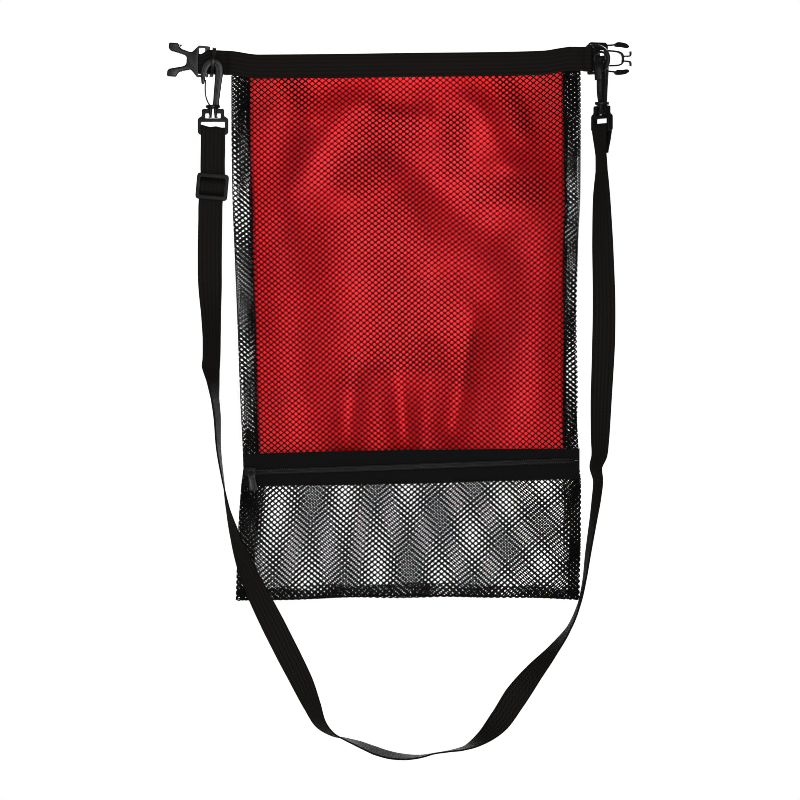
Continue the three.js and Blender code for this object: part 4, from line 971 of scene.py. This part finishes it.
def brick(x0, x1, y0, y1, z0, z1, bevel=0.0):
    if bevel <= 0:
        v = np.array([(x, y, z) for x in (x0, x1) for y in (y0, y1) for z in (z0, z1)], float)
        q = [(0, 1, 3, 2), (4, 6, 7, 5), (0, 4, 5, 1), (2, 3, 7, 6), (0, 2, 6, 4), (1, 5, 7, 3)]
        return make("brick", v, q)
    ob = curve_plate([box_outline(x0, z0, x1, z1, min(bevel, 0.45 * (x1 - x0), 0.45 * (z1 - z0)))], y1 - y0, bevel, 2)
    ob.data.transform(Matrix.Translation((0, (y0 + y1) / 2 * MM, 0)))
    return ob


def combine(base, others, operation):
    """A boolean of closed meshes, with its result kept as a plain mesh."""
    for o in others:
        mod = base.modifiers.new("b", "BOOLEAN")
        mod.operation, mod.solver, mod.object = operation, "EXACT", o
    bpy.context.view_layer.update()
    dg = bpy.context.evaluated_depsgraph_get()
    me = bpy.data.meshes.new_from_object(base.evaluated_get(dg))
    base.modifiers.clear()
    old = base.data
    base.data = me
    bpy.data.meshes.remove(old)
    for o in others:
        d = o.data
        bpy.data.objects.remove(o)
        bpy.data.meshes.remove(d)
    return base


def moulded(name, ob, matrix, node, material=None, body="bag", angle=34):
    me = ob.data
    me.transform(matrix)
    me.name = ob.name = name
    me.shade_smooth()
    me.set_sharp_from_angle(angle=math.radians(angle))
    return finish(ob, material or PLASTIC, body, [node])


def placed(x, y, z, turn=0.0, tilt=0.0, flip=False):
    m = Matrix.Translation((x * MM, y * MM, z * MM)) @ Matrix.Rotation(math.radians(turn), 4, "Z") @ Matrix.Rotation(math.radians(tilt), 4, "Y")
    return m @ Matrix.Diagonal((-1, 1, 1, 1)) if flip else m


LEFT = dict(x=-160.0, y=-10.6, eye=-7.4, hook=-44.9, turn=-86, tilt=6)
RIGHT_RING = dict(x=152.2, y=-2.0, turn=-25)
RIGHT = dict(x=162.7, y=-6.1, eye=-5.0, hook=-42.0, turn=66, base=-58)
SOCKET = dict(x=-165.7, z=-6.9, tilt=3.7)
PLUG = dict(x=151.4, y=1.2, z=-3.3, turn=18)
SLIDE = dict(x=-160.6, y=-14.4, z=-111.3, tilt=5)


def bezier(p0, p1, p2, p3, steps=14):
    f = np.linspace(0, 1, steps)[:, None]
    p0, p1, p2, p3 = (np.asarray(p, float) for p in (p0, p1, p2, p3))
    return (1 - f) ** 3 * p0 + 3 * f * (1 - f) ** 2 * p1 + 3 * f**2 * (1 - f) * p2 + f**3 * p3


RING = dict(thick=3, bar=2.4, slot=2.8, tall=25.2, arm=2.1, eye=5.1, eye_out=6.8)
EYE_U = RING["bar"] / 2 + RING["slot"] + RING["eye_out"]


def ring_outlines():
    b, h = RING["bar"] / 2, RING["tall"] / 2
    out = EYE_U + RING["eye_out"] + 1.0
    upper = bezier((5, h), (EYE_U, h), (out, h * 0.72), (out, 0))
    rim = np.vstack([[(-b, -h + 1.2), (-b, h - 1.2), (-b + 0.4, h - 0.35), (-b + 1.2, h)], upper, (upper * [1, -1])[::-1][1:],
                     [(-b + 1.2, -h), (-b + 0.4, -h + 0.35)]])
    inner = h - RING["arm"]
    a = np.radians(np.linspace(66, 294, 34))
    bow = np.stack([EYE_U + RING["eye_out"] * np.cos(a), RING["eye_out"] * np.sin(a)], -1)
    shoulder = bezier((5, inner), (EYE_U - 3, inner), (EYE_U + 1.2, inner - 0.6), (EYE_U + 3.6, inner - 2.2), 8)
    slot = np.vstack([[(b, -inner), (b, inner)], shoulder, bow, (shoulder * [1, -1])[::-1]])
    c = np.linspace(0, 2 * PI, 40, endpoint=False)
    eye = np.stack([EYE_U + RING["eye"] * np.cos(c), RING["eye"] * np.sin(c)], -1)
    return [rim, slot[::-1], eye[::-1]]


def rings():
    leaning = placed(LEFT["x"] - 0.75, LEFT["y"] + EYE_U, LEFT["eye"], 0, LEFT["tilt"]) @ Matrix.Rotation(math.radians(LEFT["turn"]), 4, "Z")
    moulded("ring_left_moulding", curve_plate(ring_outlines(), RING["thick"], 0.45), leaning, "ring_left")
    moulded("ring_right_moulding", curve_plate(ring_outlines(), RING["thick"], 0.45),
            placed(RIGHT_RING["x"], RIGHT_RING["y"], RIGHT["eye"], RIGHT_RING["turn"]), "ring_right")


HOOK_OUTLINE = [
    (4.6, -0.6), (5.2, 4.2), (6.3, 12.5), (7.7, 22.4), (8.6, 29), (8.0, 34.6), (5.4, 38.2), (1.4, 39.9), (-2.8, 39.6), (-7, 37.0), (-9.2, 33.6),
    (-10.2, 29), (-9.8, 22.6), (-9.2, 19.2), (-7.4, 19.2), (-6.7, 21.8), (-5.7, 26), (-4.1, 30.2), (-2.2, 33.2), (-0.3, 34.2), (1.3, 32.6),
    (1.8, 27.4), (1.4, 20.8), (0.7, 12.5), (0.1, 4), (-0.4, -0.6),
]


def hook():
    body = curve_plate([closed_smooth(HOOK_OUTLINE, 6)], 6.0, 0.85, 3)
    rib = curve_plate([stroke([(2.5, 1.4), (3.4, 14), (4.8, 26), (4.6, 31.6), (2.2, 36.2), (-2.4, 36.8), (-5.9, 34.0), (-7.6, 29), (-8.2, 23)], 1.3)], 6.8, 0.35, 2)
    gate = curve_plate([stroke([(-6.1, 22.4), (-6.4, 15), (-6.0, 9.5), (-4.5, 4.4), (-2.2, 0.4)], 1.1)], 4.2, 0.3, 2)
    collar = [rod((0, 0, -0.9), (0, 0, 1.4), 6.0, 36, 0.5), rod((0, 0, -1.7), (0, 0, -0.6), 4.7, 36, 0.35)]
    prongs = []
    for k in (-1, 1):
        at = np.array([(0, 0, -1.2), (0, 0, -3.4), (0, 0, -6.4), (0, 0, -8.0), (0, 0, -8.5), (0, 0, -9.2)])
        at[:, 0] = k * np.array([2.2, 2.2, 2.15, 2.05, 2.5, 2.5])
        v, q, t = tubes(at[None], np.tile([0.0, 1, 0], (1, 6, 1)), np.array([[1.7, 1.65, 1.2, 0.95, 1.5, 1.1]]), 16)
        prongs.append(make("claw", v, q, t))
    return combine(body, [rib, gate, *collar, *prongs], "UNION")


def base():
    w, n, s = 12.6, 9.2, 9.95
    rim = rounded([(-n, -2.7), (-n + 0.9, -1.75), (n - 0.9, -1.75), (n, -2.7), (n, -7.8), (w - 0.8, -9.3), (w, -10.6), (w, -21.4), (w - 1.8, -23.2),
                   (-w + 1.8, -23.2), (-w, -21.4), (-w, -10.6), (-w + 0.8, -9.3), (-n, -7.8)][::-1], 1.0, 4)
    plate = curve_plate([rim, box_outline(-6.4, -9.6, 6.4, -5.4, 0.8), box_outline(-s, -19.4, s, -12.4, 0.9)], 5.0, 0.5)
    cut = [rod((0, 0, -7), (0, 0, -1), 4.0, 32, 0.01)]
    cut += [brick(-s, s, 1.6, 4, -25, -16), brick(-s, s, -4, -1.6, -25, -16)]
    return combine(plate, cut, "DIFFERENCE")


def hooks_and_bases():
    moulded("hook_left_moulding", hook(), placed(LEFT["x"], LEFT["y"], LEFT["hook"]), "hook_left")
    moulded("hook_right_moulding", hook(), placed(RIGHT["x"], RIGHT["y"], RIGHT["hook"], RIGHT["turn"]), "hook_right")
    moulded("base_left_moulding", base(), placed(LEFT["x"], LEFT["y"], LEFT["hook"]), "base_left", DULL_PLASTIC)
    moulded("base_right_moulding", base(), placed(RIGHT["x"], RIGHT["y"], RIGHT["hook"], RIGHT["base"]), "base_right", DULL_PLASTIC)


def buckle():
    upper = [(-2.2, 12.4), (-0.6, 13.0), (7.4, 13.2), (10.4, 9.6), (12.8, 7.2), (15.4, 7.6), (21.4, 9.4), (23.0, 10.8), (24.4, 14.0), (31.4, 14.1),
             (32.2, 13.2), (32.2, 9.4), (30.6, 7.6), (19.6, 5.0), (17.6, 4.0), (16.7, 2.4)]
    rim = rounded(upper + [(u, -v) for u, v in reversed(upper)], 1.1, 5)
    body = curve_plate([rim, box_outline(1.9, -11.2, 6.7, 11.2, 0.9)], 7.4, 0.9, 3)
    cut = [brick(-5, 8.6, 1.6, 6, -16, 16), brick(-5, 8.6, -6, -1.6, -16, 16), brick(13.2, 36, -1.8, 1.8, -9.4, 9.4)]
    tooth = curve_plate([[(23.9, 13.0), (21.0, 12.9), (22.6, 10.9)][::-1]], 3.0, 0.1, 1)
    moulded("buckle_socket_moulding", combine(combine(body, cut, "DIFFERENCE"), [tooth], "UNION"), placed(SOCKET["x"], 0, SOCKET["z"], 0, SOCKET["tilt"], True), "buckle_socket")
    weld(bpy.data.objects["buckle_socket_moulding"].data)
    edge = rounded([(-1.2, -10.0), (1.4, -13), (15.2, -13), (17.2, -11), (17.2, 11), (15.2, 13), (1.4, 13), (-1.2, 10.0)], 1.2)
    frame_ = curve_plate([edge, box_outline(1.2, -11.4, 5.2, 11.4, 0.7), box_outline(10.2, -6.4, 14.8, 6.4, 0.9)], 3.4, 0.5)
    more = []
    for k in (-1, 1):
        more.append(curve_plate([stroke([(16.2, 10.7 * k), (20.6, 11.0 * k), (24.4, 11.4 * k)], 1.3)], 3.4, 0.35, 2))
        pad = [(23.5, 11.6), (24.6, 9.9), (30, 9.4), (34.6, 8.9), (36.1, 10.1), (34.2, 12.2), (30.2, 13.4), (25, 13.4)]
        more.append(curve_plate([closed_smooth([(u, v * k) for u, v in pad][::k], 6)], 4.6, 0.7, 3))
        more.append(curve_plate([stroke([(30.6, 2.0 * k), (35.6, 2.2 * k), (37.3, 2.6 * k), (37.8, 3.6 * k), (37.8, 6.2 * k)], 1.2)], 2.8, 0.35, 2))
    guide = [(16.4, 6.4), (27.6, 5.3), (30.2, 3.7), (31.0, 1.6), (31.0, -1.6), (30.2, -3.7), (27.6, -5.3), (16.4, -6.4)]
    more.append(curve_plate([stroke(guide, 1.3)], 3.4, 0.35, 2))
    moulded("buckle_plug_moulding", combine(frame_, more, "UNION"), placed(PLUG["x"], PLUG["y"], PLUG["z"], PLUG["turn"]), "buckle_plug")


def strap_slide():
    w, h, side, bar = 13.2, 11.0, 3.4, 3.9
    iw, ih = w - side, h - bar
    plate = curve_plate([box_outline(-w, -h, w, h, 3.4), box_outline(-iw, 1.5, iw, ih, 0.7), box_outline(-iw, -ih, iw, -1.5, 0.7)], 3.0, 0.7, 3)
    plate = combine(plate, [brick(-iw, iw, -3, -1.1, -1.6, 1.6)], "DIFFERENCE")
    moulded("strap_slider_moulding", plate, placed(SLIDE["x"], SLIDE["y"], SLIDE["z"], 0, SLIDE["tilt"]), "strap_slider", DULL_PLASTIC)


# ------------------------------------------------------------------ zip slider and pull
HEAD_X = -129.4
HEAD_TURN = math.degrees(math.atan((coil_y(HEAD_X + 4) - coil_y(HEAD_X - 4)) / 8))
HEAD_FRONT, HEAD_BACK = -COIL_T / 2 - 0.6, COIL_T / 2 + 0.25 + TAPE_T + 0.5
PIN = 2.4


def zip_head():
    x, y, z = HEAD_X, float(coil_y(HEAD_X)), float(zip_coil(HEAD_X))
    cap = curve_plate([rounded([(-5.2, -2.6), (-4.4, -3.4), (-1, -4.1), (4.2, -3.8), (5.2, -3), (5.2, 3), (4.2, 3.8), (-1, 4.1), (-4.4, 3.4), (-5.2, 2.6)], 0.9, 4)], 1.1, 0.35, 3)
    cap.data.transform(Matrix.Translation((0, (HEAD_FRONT - 0.55) * MM, 0)))
    rear = curve_plate([box_outline(-5.2, -3.4, 5.2, 3.4, 0.9)], 1.1, 0.25, 2)
    rear.data.transform(Matrix.Translation((0, (HEAD_BACK + 0.55) * MM, 0)))
    post = brick(-4.9, -3.0, HEAD_FRONT - 0.3, HEAD_BACK + 0.3, -0.2, 0.2)
    arch = curve_plate([stroke([(-3.6, 0.4), (-3.6, -2.2), (-2.9, -2.95), (1.7, -2.95), (PIN, -2.2), (PIN, 0.4)], 1.0, smooth=False)], 1.2, 0.2, 2)
    arch.data.transform(Matrix.Translation((0, (HEAD_FRONT - 1.1) * MM, 0)) @ Matrix.Rotation(-PI / 2, 4, "X"))
    moulded("zip_slider_metal", combine(cap, [rear, post, arch], "UNION"), placed(x, y, z, HEAD_TURN), "zip_slider", DARK_METAL)
    a = math.radians(HEAD_TURN)
    d = HEAD_FRONT - 1.1 - 1.2
    px, py = x + PIN * math.cos(a) - d * math.sin(a), y + PIN * math.sin(a) + d * math.cos(a)
    w, foot = 3.2, 2.6 - 18
    tab = rounded([(-w + 1.2, 2.6), (-w, 1.6), (-w + 0.2, -3.2), (-w + 0.1, -8), (-w - 0.5, foot + 1.4), (-w + 0.5, foot), (w - 0.5, foot), (w + 0.5, foot + 1.4),
                   (w - 0.1, -8), (w - 0.2, -3.2), (w, 1.6), (w - 1.2, 2.6)], 0.9, 4)
    hole = rounded([(-2.05, 1.3), (2.05, 1.3), (2.05, -1.4), (0.9, -2.6), (-0.9, -2.6), (-2.05, -1.4)], 0.5, 4)
    pull = curve_plate([tab, hole], 1.5, 0.35, 3)
    panel_ = curve_plate([box_outline(-2.1, foot + 1.7, 2.1, -4.4, 0.8)], 0.5, 0.12, 1)
    panel_.data.transform(Matrix.Translation((0, -0.75 * MM, 0)))
    pull = combine(pull, [panel_], "DIFFERENCE")
    local = Matrix.Rotation(math.radians(-9), 4, "Y") @ Matrix.Translation((-1.2 * MM, 0, -0.15 * MM))
    moulded("zip_pull_metal", pull, placed(px, py, z, HEAD_TURN) @ local, "zip_pull", METAL, "pull")


# ------------------------------------------------------------------ strap
def strap():
    bar_l = (LEFT["y"], LEFT["hook"] - 21.6)
    slide_y, slide_z = SLIDE["y"], SLIDE["z"]
    lean = math.radians(SLIDE["tilt"])
    at_slide = [(4.5, 21), (4.45, 10.5), (4.1, 7.2), (2.95, 4.6), (1.6, 3.15), (0, 2.65), (-1.9, 2.3), (-2.2, 0), (-1.9, -2.3), (0, -2.75), (2.3, -2.3),
                (2.7, -0.4), (4.3, 3.0), (5.7, 6.4), (6.4, 11), (6.5, 14)]
    at_bar = [(2.75, -14), (2.75, -2), (2.75, 2.2), (1.8, 4.1), (0, 4.7), (-1.8, 4.1), (-2.75, 2.2), (-2.75, -2), (-2.5, -14)]
    back = [(2.75, 14), (2.7, 10), (2.45, 7.9), (1.5, 6.1), (0, 4.9), (-1.7, 4.35), (-3.5, 2.5), (-3.95, 0), (-3.5, -2.5), (-1.7, -4.3), (0, -4.75), (1.6, -5.9), (2.65, -7.9)]
    knots = []

    def put(y, z, tilt):
        x = LEFT["x"] + (SLIDE["x"] - LEFT["x"]) * (bar_l[1] - z) / (bar_l[1] - slide_z)
        off = z - slide_z
        if abs(off) <= 12:
            x += off * math.tan(lean) * min(1, (12 - abs(off)) / 4)
        knots.append(((x, y, z), (-math.cos(tilt), 0, math.sin(tilt))))

    for y, z in at_slide:
        put(slide_y + y, slide_z + z, lean)
    for y, z in at_bar:
        put(bar_l[0] + y, bar_l[1] + z, 0)
    for y, z in back:
        put(slide_y + y, slide_z + z, lean)
    pts = np.array([r[:3] for r in STRAP], float)
    for i, (x, y, z, turn) in enumerate(STRAP):
        t = unit(pts[min(len(pts) - 1, i + 1)] - pts[max(0, i - 1)])
        flat = unit(np.cross(t, [0, -1, 0]))
        a = math.radians(turn)
        knots.append(((x, y, z), tuple(flat * math.cos(a) + np.array([0, -1, 0]) * math.sin(a))))
    bar_r = RIGHT["hook"] - 21.6
    for a, z in [(-0.85, -21), (-1.9, -9.5), (-2.75, -2), (-2.75, 2.2), (-1.8, 4.1), (0, 4.7), (1.8, 4.1), (2.75, 2.2), (2.75, -2), (1.9, -9.5), (1.0, -16.5), (0.85, -19.5)]:
        turn = math.radians(RIGHT["base"] - 9 * min(1, max(0, (-4 - z) / 15)))
        c, s = math.cos(turn), math.sin(turn)
        knots.append(((RIGHT["x"] - s * a, RIGHT["y"] + c * a, bar_r + z), (c, s, 0)))
    per = 10
    p, t = catmull([k[0] for k in knots], per)
    ws = np.array([k[1] for k in knots], float)
    f = np.arange(len(p)) / per
    k = np.minimum(f.astype(int), len(knots) - 2)
    w = ws[k] + (ws[k + 1] - ws[k]) * (f - k)[:, None]
    w = unit(w - (w * t).sum(1, keepdims=True) * t)
    n = np.cross(t, w)
    crown = Line([-12, -9.6, -5.5, -2.2, 2.4, 5.2, 7.8, 12], [1.6, 1.5, 0.3, -0.4, 0.2, -0.5, -1.0, -0.3])

    def warp(at, across):
        """The strap's folded edge over the left base bar is wavy."""
        share = np.clip((at[..., 2] - bar_l[1] + 3) / 6.5, 0, 1) * (at[..., 0] < -140)
        return np.stack([0 * share * across, 0 * share * across, share * crown(-across + 0 * share)], -1)

    ob, length = ribbon("strap_webbing", p, w, n, WEB_W, WEB_T, warp=warp)
    finish(ob, WEBBING, nodes=["strap"])
    rows = []
    last = len(p) - 1
    for back_ in (2.5, 5.0, 9.5, 12.0):
        run = np.concatenate([[0], np.cumsum(np.linalg.norm(np.diff(p[::-1], axis=0), axis=1))])
        i = last - int(np.searchsorted(run, back_))
        for side in (1, -1):
            across = np.arange(-8.0, 8.1, 1.6)
            cpts = p[i] + across[:, None] * w[i] + side * n[i] * WEB_T / 2
            rows.append(stitch_row(cpts, np.tile(t[i], (len(across), 1)), np.tile(side * n[i], (len(across), 1)), 2.2, 0.22, 0.24))
    run = np.concatenate([[0], np.cumsum(np.linalg.norm(np.diff(p, axis=0), axis=1))])
    for at in (2.5, 5.0):
        i = int(np.searchsorted(run, at))
        for side in (1, -1):
            across = np.arange(-8.0, 8.1, 1.6)
            cpts = p[i] + across[:, None] * w[i] + side * n[i] * WEB_T / 2
            rows.append(stitch_row(cpts, np.tile(t[i], (len(across), 1)), np.tile(side * n[i], (len(across), 1)), 2.2, 0.22, 0.24))
    thread = stitches("strap_stitches", rows)
    return ob, length, thread


# ------------------------------------------------------------------ the object
liner = inner_bag()
net = net_faces()
trims = seam_allowances()
band_f, band_f_long, band_b, band_b_long, band_thread = bands()
tapes, zip_thread = zip_tapes()
zip_chain()
rings()
hooks_and_bases()
buckle()
strap_slide()
zip_head()
strap_ob, strap_long, strap_thread = strap()

for ob, long_, high in tapes:
    [zip_thread] if "upper" in ob.name else ()

low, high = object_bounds()
{"cad": [list(CAD_BOX[0]), list(CAD_BOX[1])], "visual": [list(low), list(high)]}
